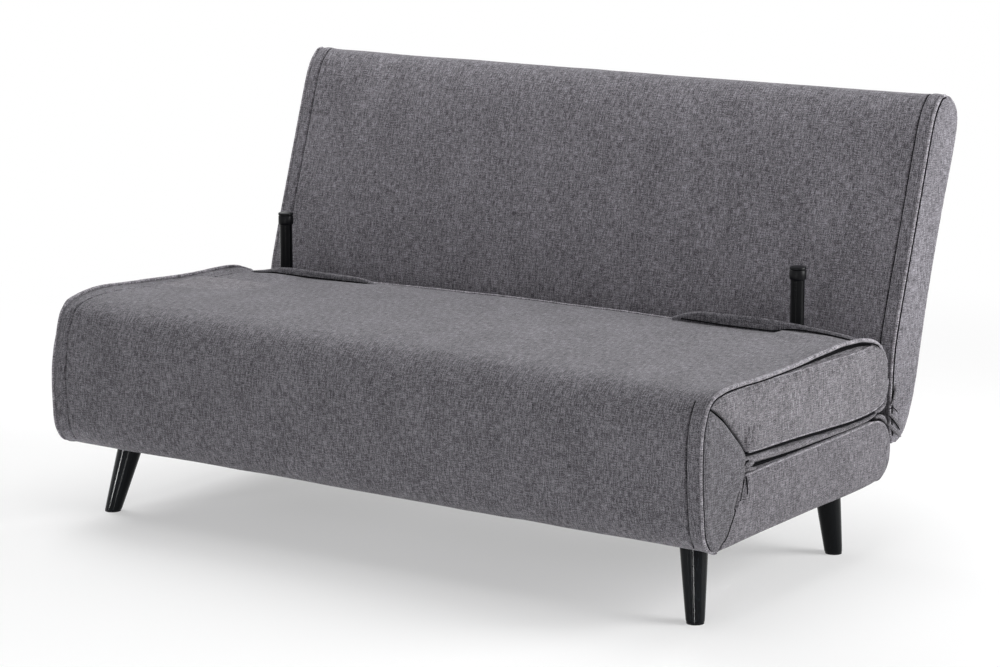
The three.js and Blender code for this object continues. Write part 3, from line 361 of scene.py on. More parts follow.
# Noises: repeats per metre each way, detail, roughness and share
WEAVE = ((470, 60, 1, 0.0, 0.5, 0.52), (70, 500, 1, 0.0, 0.5, 0.42), (560, 520, 1, 1.0, 0.6, 1.25),
         (150, 90, 1, 1.0, 0.6, 0.3), (16, 8, 1, 2.0, 0.5, 0.2))
BEECH_GRAIN = ((55, 4, 55, 5.0, 0.62, 0.75), (500, 60, 500, 2.0, 0.5, 0.25))
FELT_FIBRE = (700, 700, 700, 5.0, 0.75)
BLACK_SHINE = 0.12

# Hard materials: stops follow the tint noises; gloss is noises and least roughness; relief is noises,
# strength and depth
SURFACES = {
    "black_lacquer": dict(
        colour=(0.005, 0.006, 0.008), roughness=0.16, tint=((220, 220, 9, 4.0, 0.6, 1.0),), streaks=True,
        stops=((0.3, (0.001, 0.0016, 0.0022)), (0.7, (0.003, 0.0038, 0.005))), shine=BLACK_SHINE,
        gloss=(((60, 60, 20, 2.0, 0.5, 0.06),), 0.18)),
    "black_steel": dict(
        colour=(0.007, 0.0075, 0.009), roughness=0.15, tint=((40, 40, 14, 4.0, 0.65, 1.0),), streaks=True,
        stops=((0.35, (0.001, 0.0012, 0.0018)), (0.75, (0.003, 0.0032, 0.004))), shine=BLACK_SHINE,
        gloss=(((40, 40, 14, 4.0, 0.65, 0.06),), 0.17),
        relief=(((900, 900, 900, 3.0, 0.5, 1.0),), 0.04, 0.0002)),
    "black_plastic": dict(
        colour=(0.008, 0.008, 0.010), roughness=0.3, tint=((50, 50, 50, 3.0, 0.5, 1.0),),
        stops=((0.3, (0.002, 0.002, 0.003)), (0.7, (0.004, 0.004, 0.005))), shine=BLACK_SHINE,
        gloss=(((50, 50, 50, 3.0, 0.5, 0.15),), 0.24),
        relief=(((1600, 1600, 1600, 2.0, 0.5, 1.0),), 0.12, 0.0003)),
    "slat_wood": dict(
        colour=(0.55, 0.36, 0.19), roughness=0.5, tint=BEECH_GRAIN, relief=(BEECH_GRAIN, 0.15, 0.0005),
        stops=((0.3, (0.40, 0.24, 0.11)), (0.5, (0.56, 0.37, 0.20)), (0.7, (0.66, 0.47, 0.28)))),
}

FLOOR_SURFACE = dict(
    colour=(0.93, 0.93, 0.93), roughness=0.8, tint=((1.2, 1.2, 1.2, 3.0, 0.5, 1.0),), shine=0.1,
    stops=((0.2, (0.925, 0.925, 0.925)), (0.8, (0.94, 0.94, 0.94))))

# Each lamp: place, aim, width, height, power and, where its beam is narrow, the beam's angle
LIGHTS = {
    "key_right": ((2.9, 1.1, 1.5), (0, 0, 0.4), 1.6, 1.4, 78),
    "top_soft": ((0.1, -0.3, 3.5), (0, 0, 0.3), 3.0, 3.0, 54),
    "rear_left": ((-2.6, 0.8, 2.8), (0, 0, 0.4), 1.8, 1.6, 70),
    "strip_right": ((0.95, -2.7, 0.9), (0.5, 0, 0.9), 0.07, 1.7, 8.5),
    "strip_left": ((-1.3, -2.7, 0.9), (-0.6, 0, 0.9), 0.05, 1.7, 1.0),
    "strip_low": ((0.05, -1.7, 0.36), (0.05, 0, 0.36), 0.03, 0.7, 0.8),
    "leg_right": ((0.84, -0.79, 0.07), (0.633, -0.335, 0.07), 0.06, 0.13, 0.04, 20),
    "leg_left": ((-0.85, -0.785, 0.07), (-0.633, -0.335, 0.07), 0.06, 0.13, 0.055, 20),
    "leg_left_inner": ((-0.377, -0.765, 0.07), (-0.633, -0.335, 0.07), 0.06, 0.13, 0.014, 20),
}
WORLD_LIGHT = 0.2

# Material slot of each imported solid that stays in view, by a word in its name
CARRIED = {
    "black_steel": ["rail", "front_link"],
    "zinc_steel": ["hinge_plate", "back_pivot", "hinge_pin", "pawl", "back_arm", "leg_plate"],
    "slat_wood": ["slat"],
    "lining": ["dust_cover"],
    "glide_felt": ["glide"],
}


# Numbers
def smooth_step(value):
    value = np.clip(value, 0.0, 1.0)
    return value * value * (3 - 2 * value)


def between(value, start, end):
    """A smooth step from 0 at the start to 1 at the end."""
    return smooth_step((value - start) / (end - start))


def hump(value, middle, width):
    """A bell curve that is 1 at its middle."""
    return np.exp(-((value - middle) / width) ** 2)


def turns(count):
    """Even angles once round."""
    return np.arange(count) / count * 2 * math.pi


def lattice(ix, iy, iz, seed):
    """A repeatable number from -1 to 1 for each whole-numbered place."""
    mixed = (ix * 374761393 + iy * 668265263 + iz * 2147483647 + seed * 1274126177) & 0xFFFFFFFF
    mixed = ((mixed ^ (mixed >> 13)) * 1103515245) & 0xFFFFFFFF
    mixed = (mixed ^ (mixed >> 16)) & 0xFFFF
    return mixed / 32767.5 - 1


def noise(points, size, seed):
    """Smooth noise from -1 to 1 over points in millimetres, with features of that size."""
    scaled = np.asarray(points, float) / size
    cell = np.floor(scaled).astype(np.int64)
    part = scaled - cell
    part = part * part * (3 - 2 * part)
    total = 0.0
    for dx in (0, 1):
        for dy in (0, 1):
            for dz in (0, 1):
                weight = (np.abs(1 - dx - part[..., 0]) * np.abs(1 - dy - part[..., 1])
                          * np.abs(1 - dz - part[..., 2]))
                corner = np.moveaxis(cell + (dx, dy, dz), -1, 0)
                total = total + weight * lattice(*corner, seed)
    return total


def waves(points, terms):
    """Sum of noises, each with the size of its features, seed and height."""
    return sum(noise(points, size, seed) * height for size, seed, height in terms)


# Paths in the side view
def resample(path, count):
    path = np.asarray(path, float)
    steps = np.hypot(*np.diff(path, axis=0).T)
    along = np.concatenate([[0], np.cumsum(steps)])
    places = np.linspace(0, along[-1], count)
    return np.column_stack([np.interp(places, along, path[:, k]) for k in range(path.shape[1])])


def curve(path, count, steps=10):
    """A smooth curve through the points of an open path, resampled to even steps."""
    path = np.asarray(path, float)
    padded = np.vstack([2 * path[0] - path[1], path, 2 * path[-1] - path[-2]])
    pieces = []
    for index in range(len(path) - 1):
        a, b, c, d = padded[index:index + 4]
        along = [0.0]
        for first, second in ((a, b), (b, c), (c, d)):
            along.append(along[-1] + max(np.linalg.norm(second - first), 1e-6) ** 0.5)
        t = np.linspace(along[1], along[2], steps, endpoint=False)[:, None]
        level = [a, b, c, d]
        for spans in (((0, 1), (1, 2), (2, 3)), ((0, 2), (1, 3)), ((1, 2),)):
            ends = [(along[low], along[high]) for low, high in spans]
            level = [(high - t) / (high - low) * first + (t - low) / (high - low) * second
                     for (low, high), first, second in zip(ends, level, level[1:])]
        pieces.append(level[0])
    return resample(np.vstack([*pieces, path[-1:]]), count)


def lengths_along(path):
    return np.concatenate([[0], np.cumsum(np.linalg.norm(np.diff(path, axis=0), axis=1))])


def paired(first, second):
    """Two coordinates side by side, each spread over the same grid."""
    return np.stack(np.broadcast_arrays(first, second), axis=-1)


def at_width(x, path):
    """A side path put at one distance from the middle, or at one for each of its points."""
    return np.column_stack([np.broadcast_to(x, len(path)), path])


def outward(path, closed=False):
    """Outward normals of a path that runs up the front, over the top and down the rear."""
    if closed:
        along = np.roll(path, -1, axis=0) - np.roll(path, 1, axis=0)
    else:
        along = np.gradient(path, axis=0)
    length = np.maximum(np.hypot(along[:, 0], along[:, 1]), TINY)
    return np.column_stack([-along[:, 1], along[:, 0]]) / length[:, None]


def distance_to(points, path, skip=None):
    """Distance of each point to a closed path, without the segments that start at a skipped point."""
    start = path
    step = np.roll(path, -1, axis=0) - path
    if skip is not None:
        start, step = start[~skip], step[~skip]
    square = np.maximum((step ** 2).sum(1), 1e-12)
    flat = points.reshape(-1, 2)
    best = np.full(len(flat), np.inf)
    for first, move, size in zip(start, step, square):
        t = np.clip(((flat - first) @ move) / size, 0, 1)
        gap = flat - first - t[:, None] * move
        best = np.minimum(best, (gap ** 2).sum(1))
    return np.sqrt(best).reshape(points.shape[:-1])


def in_frame(points):
    """Seat-frame millimetres to row-frame metres."""
    return (np.asarray(points, float) + ORIGIN_SHIFT) / MM_PER_M


def lean_back(path):
    """Backrest's own depth and height to the seat frame."""
    return BACK_AXIS + path[:, :1] * BACK_ACROSS + path[:, 1:] * BACK_UP


# Meshes from grids of points
class Sheets:
    """Grids of points in seat-frame millimetres that become one mesh, with a flat map in metres."""

    def __init__(self):
        self.points = []
        self.maps = []
        self.faces = []
        self.count = 0

    def add(self, grid, flat, wrap=False, flip=False):
        rows, columns = grid.shape[:2]
        index = np.arange(rows * columns).reshape(rows, columns) + self.count
        self.points.append(grid.reshape(-1, 3))
        self.maps.append(np.asarray(flat, float).reshape(-1, 2) / MM_PER_M)
        self.count += rows * columns
        left, right = index[:, :-1], index[:, 1:]
        if wrap:
            left, right = index, np.roll(index, -1, axis=1)
        quads = np.stack([left[:-1], right[:-1], right[1:], left[1:]], axis=-1).reshape(-1, 4)
        self.faces.append(quads[:, ::-1] if flip else quads)

    def build(self, name, material, solid=True, sharp=SHARP_ANGLE):
        mesh = bpy.data.meshes.new(name)
        faces = np.vstack(self.faces)
        mesh.from_pydata(in_frame(np.vstack(self.points)).tolist(), [], faces.tolist())
        layer = mesh.uv_layers.new(name="weave")
        layer.data.foreach_set("uv", np.vstack(self.maps)[faces.ravel()].ravel())
        welded = bmesh.new()
        welded.from_mesh(mesh)
        bmesh.ops.remove_doubles(welded, verts=welded.verts, dist=WELD / MM_PER_M)
        if solid:
            bmesh.ops.recalc_face_normals(welded, faces=welded.faces)
        welded.to_mesh(mesh)
        welded.free()
        mesh.polygons.foreach_set("use_smooth", [True] * len(mesh.polygons))
        mesh.set_sharp_from_angle(angle=math.radians(sharp))
        mesh.materials.append(material)
        obj = bpy.data.objects.new(name, mesh)
        bpy.context.scene.collection.objects.link(obj)
        return obj


def one_sheet(name, grid, flat, material, wrap=False, flip=False, solid=True, sharp=SHARP_ANGLE):
    sheets = Sheets()
    sheets.add(grid, flat, wrap, flip)
    return sheets.build(name, material, solid, sharp)


def tube(name, path, radius, material, sides=10):
    """A round cord along a path of points in seat-frame millimetres. radius may change along it."""
    path = np.asarray(path, float)
    radius = np.broadcast_to(np.asarray(radius, float), (len(path),))
    along = np.gradient(path, axis=0)
    along /= np.maximum(np.linalg.norm(along, axis=1), TINY)[:, None]
    side = np.cross(along, [1.0, 0.0, 0.0])
    crosswise = np.linalg.norm(side, axis=1) < 0.3
    side[crosswise] = np.cross(along[crosswise], [0.0, 0.0, 1.0])
    side /= np.maximum(np.linalg.norm(side, axis=1), TINY)[:, None]
    across = np.cross(side, along)
    angle = turns(sides)
    ring = side[:, None] * np.cos(angle)[None, :, None] + across[:, None] * np.sin(angle)[None, :, None]
    grid = path[:, None] + ring * radius[:, None, None]
    flat = paired(lengths_along(path)[:, None], (angle * radius.mean())[None, :])
    first, last = np.repeat(path[:1, None], sides, axis=1), np.repeat(path[-1:, None], sides, axis=1)
    grid = np.vstack([first, grid, last])
    flat = np.vstack([flat[:1], flat, flat[-1:]])
    return one_sheet(name, grid, flat, material, wrap=True)


def stations(half, line=None):
    """Places across the width, closer together near both ends and round a seam line on each side."""
    near = half - np.array(END_STEPS)
    last = half - INNER_MARGIN
    inner = np.linspace(0, last, int(round(last / INNER_STEP)) + 1)
    right = set(np.round(np.concatenate([near, inner]), 3))
    if line is not None:
        right = {x for x in right if abs(x - line) > LINE_CLEARANCE}
        right |= {line + offset for offset in LINE_STEPS}
    right = np.array(sorted(right))
    return np.concatenate([-right[:0:-1], right])


def seam_rows(grid, xs):
    """The rows of a grid at the border seam on each side."""
    return {sign: grid[np.argmin(np.abs(xs - sign * STRIP_X))] for sign, _ in SIDES}


def fold_shape(points, folds):
    """Height of folds over points in the side view: start, end, width and height of each."""
    height = np.zeros(points.shape[:-1])
    for start, end, width, lift in folds:
        start = np.array(start, float)
        step = np.array(end, float) - start
        length = np.linalg.norm(step)
        t = ((points - start) @ step) / length ** 2
        off = (points - start) @ np.array([-step[1], step[0]]) / length
        taper = np.clip(t * 6 + 0.6, 0, 1) * np.clip((1.15 - t) * 1.6, 0, 1)
        height += lift * taper * hump(off, 0, width)
    return height


def end_panel(ring, rows, seed, rough, puff, roll, folds=(), flush=None, wedge=0.0):
    """A padded panel between the upper and the lower half of an end ring, and how far out each point stands.
    Where flush(ring) is true the panel meets its neighbour without rounding off.
    wedge is how much further out it gets over each millimetre from its upper path."""
    count = len(ring) // 2 + 1
    upper = ring[:count]
    lower = np.vstack([ring[:1], ring[:count - 2:-1]])
    share = 0.5 - 0.5 * np.cos(np.linspace(0, 1, rows)[:, None, None] * math.pi)
    panel = upper[None] * (1 - share) + lower[None] * share
    side_view = panel[..., 1:]
    depth = distance_to(side_view, ring[:, 1:], None if flush is None else flush(ring[:, 1:]))
    rolled = np.clip(depth / roll, 0, 1)
    rise = puff * np.sqrt(np.maximum(0, 1 - (1 - rolled) ** 2))
    rise += noise(panel, 90, seed + 3) * 1.3 * rough * np.clip(depth / 20, 0, 1)
    rise += noise(panel, 34, seed + 5) * 0.5 * rough * np.clip(depth / 14, 0, 1)
    rise += fold_shape(side_view, folds) * np.clip(depth / 6, 0, 1)
    if wedge:
        rise += wedge * distance_to(side_view, upper[:, 1:]) * rolled * between(panel[..., 2], *WEDGE_BEGINS)
    return panel, rise


def boxed(name, ends, inside, material, seed, half=PANEL_X, count=RING_COUNT, pinch=1.5, ease=14.0,
          rough=0.9, skin=None, line=None, **panel_values):
    """A boxed cushion: one skin across the width and a padded panel sewn in at each end.
    ends and inside are its upper and lower side paths at the ends and within."""
    ring_end, ring_in = (ring_of(*(curve(path, count) for path in paths)) for paths in (ends, inside))
    xs = stations(half, line)
    grid = []
    for x in xs:
        share = smooth_step((half - abs(x)) / ease)
        ring = ring_end * (1 - share) + ring_in * share
        if skin is not None:
            ring = skin(x, ring)
        inset = pinch * math.exp(-(half - abs(x)) / 7)
        grid.append(at_width(x, ring - outward(ring, closed=True) * inset))
    grid = np.array(grid)
    normals = np.array([outward(ring[:, 1:], closed=True) for ring in grid])
    fade = smooth_step((half - np.abs(xs)) / 60)[:, None]
    lift = waves(grid, ((150, seed, 1.2), (55, seed + 7, 0.5))) * rough * fade
    grid[..., 1:] += normals * lift[..., None]
    sheets = Sheets()
    sheets.add(grid, paired(xs[:, None], lengths_along(ring_end)[None, :]), wrap=True)
    rings = {-1: grid[0], 1: grid[-1]}
    for sign, _ in SIDES:
        panel, rise = end_panel(rings[sign], seed=seed, rough=rough, **panel_values)
        panel[..., 0] += sign * rise
        sheets.add(panel, panel[..., 1:], flip=sign > 0)
    return sheets.build(name, material), rings, seam_rows(grid, xs)


def ring_of(upper, lower):
    return np.vstack([upper, lower[-2:0:-1]])


def edge_cords(rings, sign, side, cords, materials):
    """Seams, piping and a painted shadow line along one end of a cushion, as its table of cords says."""
    for name, lower, first, last, radius, material, out, lift, sink in cords:
        path = (rings[sign][::-1] if lower else rings[sign])[first:last].copy()
        from_end = np.minimum(np.arange(len(path)), np.arange(len(path))[::-1])
        path[:, 1:] += outward(path[:, 1:]) * (lift - sink * (1 - smooth_step(from_end / 9)))[:, None]
        path[:, 0] += sign * out
        yield tube(f"{name}_{side}", path, radius, materials[material])


# Materials
def node(tree, kind, **values):
    made = tree.nodes.new(kind)
    for key, value in values.items():
        setattr(made, key, value)
    return made


def set_inputs(target, values):
    for name, value in values.items():
        target.inputs[name].default_value = value


def math_node(tree, operation, a, b=None, clamp=False):
    made = node(tree, "ShaderNodeMath", operation=operation, use_clamp=clamp)
    for index, value in enumerate((a, b)):
        if value is None:
            continue
        if isinstance(value, (int, float)):
            made.inputs[index].default_value = value
        else:
            tree.links.new(value, made.inputs[index])
    return made.outputs[0]


def scaled_and_raised(tree, value, scale, base):
    return math_node(tree, "ADD", math_node(tree, "MULTIPLY", value, scale), base)


def mixed_noise(tree, place, terms, middle=0.0):
    """Sum of noises whose features may be longer one way than the other. Each term has its repeats per metre
    each way, detail, roughness and share; it is taken from the middle value, on which they all are added."""
    total = middle
    for *scale, detail, roughness, share in terms:
        mapping = node(tree, "ShaderNodeMapping")
        set_inputs(mapping, {"Scale": scale})
        tree.links.new(place, mapping.inputs["Vector"])
        made = node(tree, "ShaderNodeTexNoise")
        set_inputs(made, {"Scale": 1.0, "Detail": detail, "Roughness": roughness})
        tree.links.new(mapping.outputs[0], made.inputs["Vector"])
        value = math_node(tree, "SUBTRACT", made.outputs["Fac"], middle)
        total = scaled_and_raised(tree, value, share, total)
    return total


def ramp(tree, value, stops):
    made = node(tree, "ShaderNodeValToRGB")
    elements = made.color_ramp.elements
    while len(elements) < len(stops):
        elements.new(0.5)
    for element, (position, colour) in zip(elements, stops):
        element.position = position
        element.color = (*colour, 1)
    tree.links.new(value, made.inputs[0])
    return made.outputs[0]


def new_material(name, colour, roughness, metallic=0.0):
    material = bpy.data.materials.new(name)
    material.use_nodes = True
    material.diffuse_color = (*colour, 1)
    shader = material.node_tree.nodes["Principled BSDF"]
    set_inputs(shader, {"Base Color": (*colour, 1), "Roughness": roughness, "Metallic": metallic})
    return material, material.node_tree, shader


def colour_by(tree, shader, value, stops):
    tree.links.new(ramp(tree, value, stops), shader.inputs["Base Color"])


def bump(tree, shader, height, strength, distance):
    made = node(tree, "ShaderNodeBump")
    set_inputs(made, {"Strength": strength, "Distance": distance})
    tree.links.new(height, made.inputs["Height"])
    tree.links.new(made.outputs[0], shader.inputs["Normal"])


def thread_bands(tree, vector, axis):
    """Rounded threads side by side along one direction of the flat map."""
    split = node(tree, "ShaderNodeSeparateXYZ")
    tree.links.new(vector, split.inputs[0])
    turned = math_node(tree, "MULTIPLY", split.outputs[axis], THREADS_PER_METRE * math.pi)
    return math_node(tree, "ABSOLUTE", math_node(tree, "SINE", turned))


def melange_fabric(name, panel_light_factor):
    """Plain weave of light and dark yarns, with slubs that run along both thread directions."""
    material, tree, shader = new_material(name, YARNS[1], FABRIC_ROUGHNESS)
    place = node(tree, "ShaderNodeUVMap", uv_map="weave").outputs[0]
    mixed = mixed_noise(tree, place, WEAVE, middle=0.5)
    # the yarns scaled by the panel's factor, which paints that panel's light and shade
    colours = [tuple(part * share for part, share in zip(yarn, panel_light_factor)) for yarn in YARNS]
    colour_by(tree, shader, mixed, list(zip(YARN_STOPS, colours)))
    threads = math_node(tree, "MAXIMUM", thread_bands(tree, place, 0), thread_bands(tree, place, 1))
    uneven = math_node(tree, "MULTIPLY", mixed, UNEVEN_RELIEF)
    bump(tree, shader, scaled_and_raised(tree, threads, THREAD_RELIEF, uneven), *FABRIC_BUMP)
    set_inputs(shader, FABRIC_SHEEN)
    return material


def object_place(tree):
    return node(tree, "ShaderNodeTexCoord").outputs["Object"]


def streaked(tree, shader):
    """Marks round a turned piece stretch its highlights along it."""
    tangent = node(tree, "ShaderNodeTangent", direction_type="UV_MAP", uv_map="weave")
    tree.links.new(tangent.outputs[0], shader.inputs["Tangent"])
    set_inputs(shader, {"Anisotropic": 1.0, "Anisotropic Rotation": 0.25})


def surface(name, colour, roughness, tint, stops, streaks=False, shine=None, gloss=None, relief=None):
    """A hard material from its entry in SURFACES."""
    material, tree, shader = new_material(name, colour, roughness)
    place = object_place(tree)
    colour_by(tree, shader, mixed_noise(tree, place, tint), stops)
    if gloss is not None:
        terms, least = gloss
        value = math_node(tree, "ADD", mixed_noise(tree, place, terms), least)
        tree.links.new(value, shader.inputs["Roughness"])
    if relief is not None:
        terms, strength, distance = relief
        bump(tree, shader, mixed_noise(tree, place, terms), strength, distance)
    if streaks:
        streaked(tree, shader)
    if shine is not None:
        set_inputs(shader, {"Specular IOR Level": shine})
    return material


def zinc_plate():
    material, tree, shader = new_material("zinc_steel", (0.5, 0.51, 0.52), 0.35, 1.0)
    place = object_place(tree)
    spangle = node(tree, "ShaderNodeTexVoronoi")
    set_inputs(spangle, {"Scale": 180.0})
    tree.links.new(place, spangle.inputs["Vector"])
    cells = spangle.outputs["Distance"]
    colour_by(tree, shader, cells, ((0.0, (0.42, 0.43, 0.45)), (0.9, (0.62, 0.62, 0.61))))
    smear = mixed_noise(tree, place, ((60, 60, 60, 4.0, 0.6, 1.0),))
    tree.links.new(scaled_and_raised(tree, smear, 0.3, 0.22), shader.inputs["Roughness"])
    bump(tree, shader, smear, 0.08, 0.0004)
    return material


def felt(name, colour, shine):
    dark, light = (tuple(part * share for part in colour) for share in (0.6, 1.9))
    return surface(name, colour, 0.97, ((*FELT_FIBRE, 0.7), (25, 25, 25, 3.0, 0.6, 0.3)),
                   ((0.35, dark), (0.65, light)), shine=shine, relief=(((*FELT_FIBRE, 1.0),), 0.4, 0.0006))


def studio_floor():
    """White floor that keeps the object's shadow near it and goes over to plain white further away."""
    material = surface("studio_floor", **FLOOR_SURFACE)
    tree = material.node_tree
    length = node(tree, "ShaderNodeVectorMath", operation="LENGTH")
    tree.links.new(object_place(tree), length.inputs[0])
    far = node(tree, "ShaderNodeMapRange", interpolation_type="SMOOTHSTEP")
    set_inputs(far, {"From Min": FLOOR_NEAR, "From Max": FLOOR_FAR, "To Min": FLOOR_GLOW_SHARE})
    tree.links.new(length.outputs["Value"], far.inputs["Value"])
    glow = node(tree, "ShaderNodeEmission")
    mix = node(tree, "ShaderNodeMixShader")
    paper = tree.nodes["Principled BSDF"].outputs[0]
    for index, source in enumerate((far.outputs["Result"], paper, glow.outputs[0])):
        tree.links.new(source, mix.inputs[index])
    tree.links.new(mix.outputs[0], tree.nodes["Material Output"].inputs["Surface"])
    return material


def make_materials():
    materials = {name: melange_fabric(name, panel_light_factor) for name, panel_light_factor in PANEL_LIGHT_AND_SHADE.items()}
    for name, values in SURFACES.items():
        materials[name] = surface(name, **values)
    materials["zinc_steel"] = zinc_plate()
    # near-black felt for the dust cover and stitches, also on the cords that paint shade in gaps, creases and
    # beside piping
    materials["lining"] = felt("lining", (0.007, 0.007, 0.008), shine=0.02)
    materials["glide_felt"] = felt("glide_felt", (0.008, 0.008, 0.009), shine=0.1)
    return materials


# Cover over the front and the top of the seat
def cover_profiles(side):
    line, end = (COVER_LEFT_LINE, COVER_LEFT_END) if side < 0 else (COVER_RIGHT_LINE, COVER_RIGHT_END)
    return [curve(path, COVER_COUNT) for path in (COVER_MIDDLE, line, end)]


def cover_row(x, profiles):
    middle, line, end = profiles[1 if x > 0 else -1]
    if abs(x) <= STRIP_X:
        share = (abs(x) / STRIP_X) ** SPREAD_POWER
        return middle * (1 - share) + line * share
    share = between(abs(x), STRIP_X, COVER_X)
    return line * (1 - share) + end * share


def cover_relief(grid):
    """How far the top cover stands above its plain shape: soft waves, border seams and rises by the lips."""
    x, y, z = grid[..., 0], grid[..., 1], grid[..., 2]
    above_foot = between(z, *COVER_FOOT)
    on_front = between(z, *COVER_CORNER) * above_foot * (y < FRONT_DEPTH)
    along_seam = np.where(x < 0, above_foot, on_front)
    from_line = np.abs(x) - STRIP_X
    lift = waves(grid, COVER_WAVES)
    lift -= 5.0 * hump(from_line, 0, 1.6) * along_seam
    lift += 1.5 * hump(from_line, 12, 9) * on_front
    lift += 0.9 * hump(from_line, -10, 8) * along_seam
    beside_right_lip = between(x, 546, 562) * between(x, 716, 626) * between(y, 440, 500)
    lift += 6.0 * beside_right_lip * between(y, *COVER_REAR)
    by_left_lip = hump(x, -590, 70) * between(y, 450, 500) * between(y, *COVER_REAR)
    return lift + 4.0 * by_left_lip


def tucked_rows(edge, sign):
    """Rows that carry the cover on from its edge, round the end and in under it."""
    normal = outward(edge[:, 1:])
    on_top = between(edge[:, 2], *TUCK_TOP)
    return [at_width(sign * x, edge[:, 1:] - normal * (inset + more * on_top)[:, None])
            for x, inset, more in TUCKS]


def top_cover(material):
    profiles = {sign: cover_profiles(sign) for sign, _ in SIDES}
    xs = stations(COVER_X, STRIP_X)
    grid = np.array([at_width(x, cover_row(x, profiles)) for x in xs])
    normals = np.array([outward(row[:, 1:]) for row in grid])
    grid[..., 1:] += normals * cover_relief(grid)[..., None]
    whole = np.concatenate([tucked_rows(grid[0], -1)[::-1], grid, tucked_rows(grid[-1], 1)])
    flat = paired(whole[..., 0], lengths_along(profiles[1][2])[None, :])
    cover = one_sheet("seat_top_cover", whole, flat, material, flip=True, solid=False)
    return cover, profiles, seam_rows(grid, xs), grid[:, -4]


def stitches_and_shade_line(name, seam, sign, material):
    """Dark line in the border seam, its stitches and painted shade in the groove: over the front and top on
    the left, over the front on the right.
    """
    shown = seam[:, 2] > STITCHES_AND_SHADE_FROM
    if sign > 0:
        shown &= (seam[:, 2] < STITCHES_AND_SHADE_TO) & (seam[:, 1] < FRONT_DEPTH)
    points = seam[shown]
    points[:, 1:] += outward(points[:, 1:]) * STITCH_AND_SHADE_LIFT
    return tube(name, points, STITCH_AND_SHADE_RADIUS, material, sides=6)


def bend_at_high_hinge(obj):
    direction = np.array([0, *HIGH_ACROSS]) * BEND_REACH
    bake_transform(obj)


def keep_tip(obj):
    """Bakes the cushion's transform into its mesh."""
    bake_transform(obj)


def end_line(end_path, x, lift):
    """The line of the cover's sewn end, lifted off it and slightly uneven."""
    normal = outward(end_path)
    points = at_width(x, end_path + normal * np.broadcast_to(lift, len(end_path))[:, None])
    points[:, 1:] += normal * (noise(points, 60, 31) * 0.7)[:, None]
    return points


def welt(name, end_path, sign, material):
    """Piping along the sewn end of the top cover; on the top it stands up as a flange."""
    on_top = between(end_path[:, 1], *COVER_FLANGE)
    points = end_line(end_path, sign * WELT_X, 0.9 + 1.6 * on_top)
    away = smooth_step(np.arange(len(points)) / 9)
    points[:, 2] += WELT_FOOT_RISE * (1 - away)
    return tube(name, points, (WELT_RADIUS + FLANGE_RADIUS_MORE * on_top) * (0.3 + 0.7 * away), material)


def welt_stitches_and_shade(name, end_path, sign, material):
    """Dark line between the piping and the panel under it: its stitches, and painted shade where the piping
    overhangs.
    """
    points = end_line(end_path[7:-3], sign * WELT_THREAD_AND_SHADE_X, WELT_THREAD_AND_SHADE_LIFT)
    return tube(name, points, WELT_THREAD_AND_SHADE_RADIUS, material, sides=6)


def rear_seam(edge, material):
    """Piped seam where the top cover meets the rear of the seat."""
    points = edge.copy()
    points[:, 2] += REAR_SEAM_RISE
    return tube("seat_rear_seam", points, REAR_SEAM_RADIUS, material, sides=8)


def lip_section(crest, crease, depth):
    """A section of a lip: up its front, round its ridge and down its rear."""
    tall = crest - crease
    front_y, rear_y = depth - LIP_THICK, depth + LIP_THICK
    front = [(front_y - 1.2, crease - 7), (front_y - 1.5, crease - 1), (front_y - 0.6, crease + 0.5 * tall)]
    ridge = [(depth - LIP_THICK * math.cos(turn), crest - LIP_THICK + LIP_THICK * math.sin(turn))
             for turn in np.linspace(0, math.pi, 9)]
    rear = [(rear_y, crease + 0.4 * tall), (rear_y + 1, crease - 2), (rear_y + 2, crease - 9)]
    return resample(front + ridge + rear, LIP_POINTS)


def lip(name, sign, material, lining):
    """Flange of the top cover that stands up in front of a support tube."""
    stops = np.array(LIPS[sign], float)
    xs = np.linspace(stops[0, 0], stops[-1, 0], LIP_STATIONS)
    kernel = np.ones(5) / 5
    lines = (np.pad(np.interp(xs, stops[:, 0], stops[:, k]), 2, mode="edge") for k in (1, 2, 3))
    crest, crease, depth = (np.convolve(line, kernel, mode="valid") for line in lines)
    grid = np.array([at_width(sign * x, lip_section(*place)) for x, *place in zip(xs, crest, crease, depth)])
    free = np.clip((grid[..., 2] - crease[:, None]) / 14, 0, 1)
    grid[..., 1] += waves(grid, ((60, 41, 2.2), (22, 43, 0.8))) * free
    grid[..., 2] += noise(grid, 48, 45) * 0.7 * free
    flat = paired(xs[:, None], np.arange(LIP_POINTS)[None, :] * 3.0)
    flange = one_sheet(name, grid, flat, material, wrap=True)
    # a near-black cord in the crease at the lip's foot paints the shade there
    fold = np.column_stack([sign * xs, depth - 6.4, crease + 0.8])
    shadow = tube(f"{name}_crease", fold[6:-3], 1.3, lining, sides=8)
    shadow.parent = flange
    return flange


def dressed_cover(materials):
    """The top cover with its seams, piping, stitches and lips, and near-black cords that paint the shade
    beside its piping, in its seams and in the lips' creases.
    """
    fabric, piping, thread_and_painted_shade = (materials[name] for name in ("cover_fabric", "piping_fabric", "lining"))
    cover, profiles, seams, rear_edge = top_cover(fabric)
    bend_at_high_hinge(cover)
    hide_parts("corner_roll")
    seam = rear_seam(rear_edge, piping)
    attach(seam, "seat_section")
    for sign, side in SIDES:
        end_path = profiles[sign][2]
        cord = welt(f"seat_piping_{side}", end_path, sign, piping)
        bend_at_high_hinge(cord)
        for stitches_and_shade in (stitches_and_shade_line(f"seat_stitches_and_shade_{side}", seams[sign], sign, thread_and_painted_shade),
                         welt_stitches_and_shade(f"seat_piping_stitches_and_shade_{side}", end_path, sign, thread_and_painted_shade)):
            bend_at_high_hinge(stitches_and_shade)
        flange = lip(f"seat_lip_{side}", sign, fabric, thread_and_painted_shade)
        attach(flange, "seat_section")
    return cover


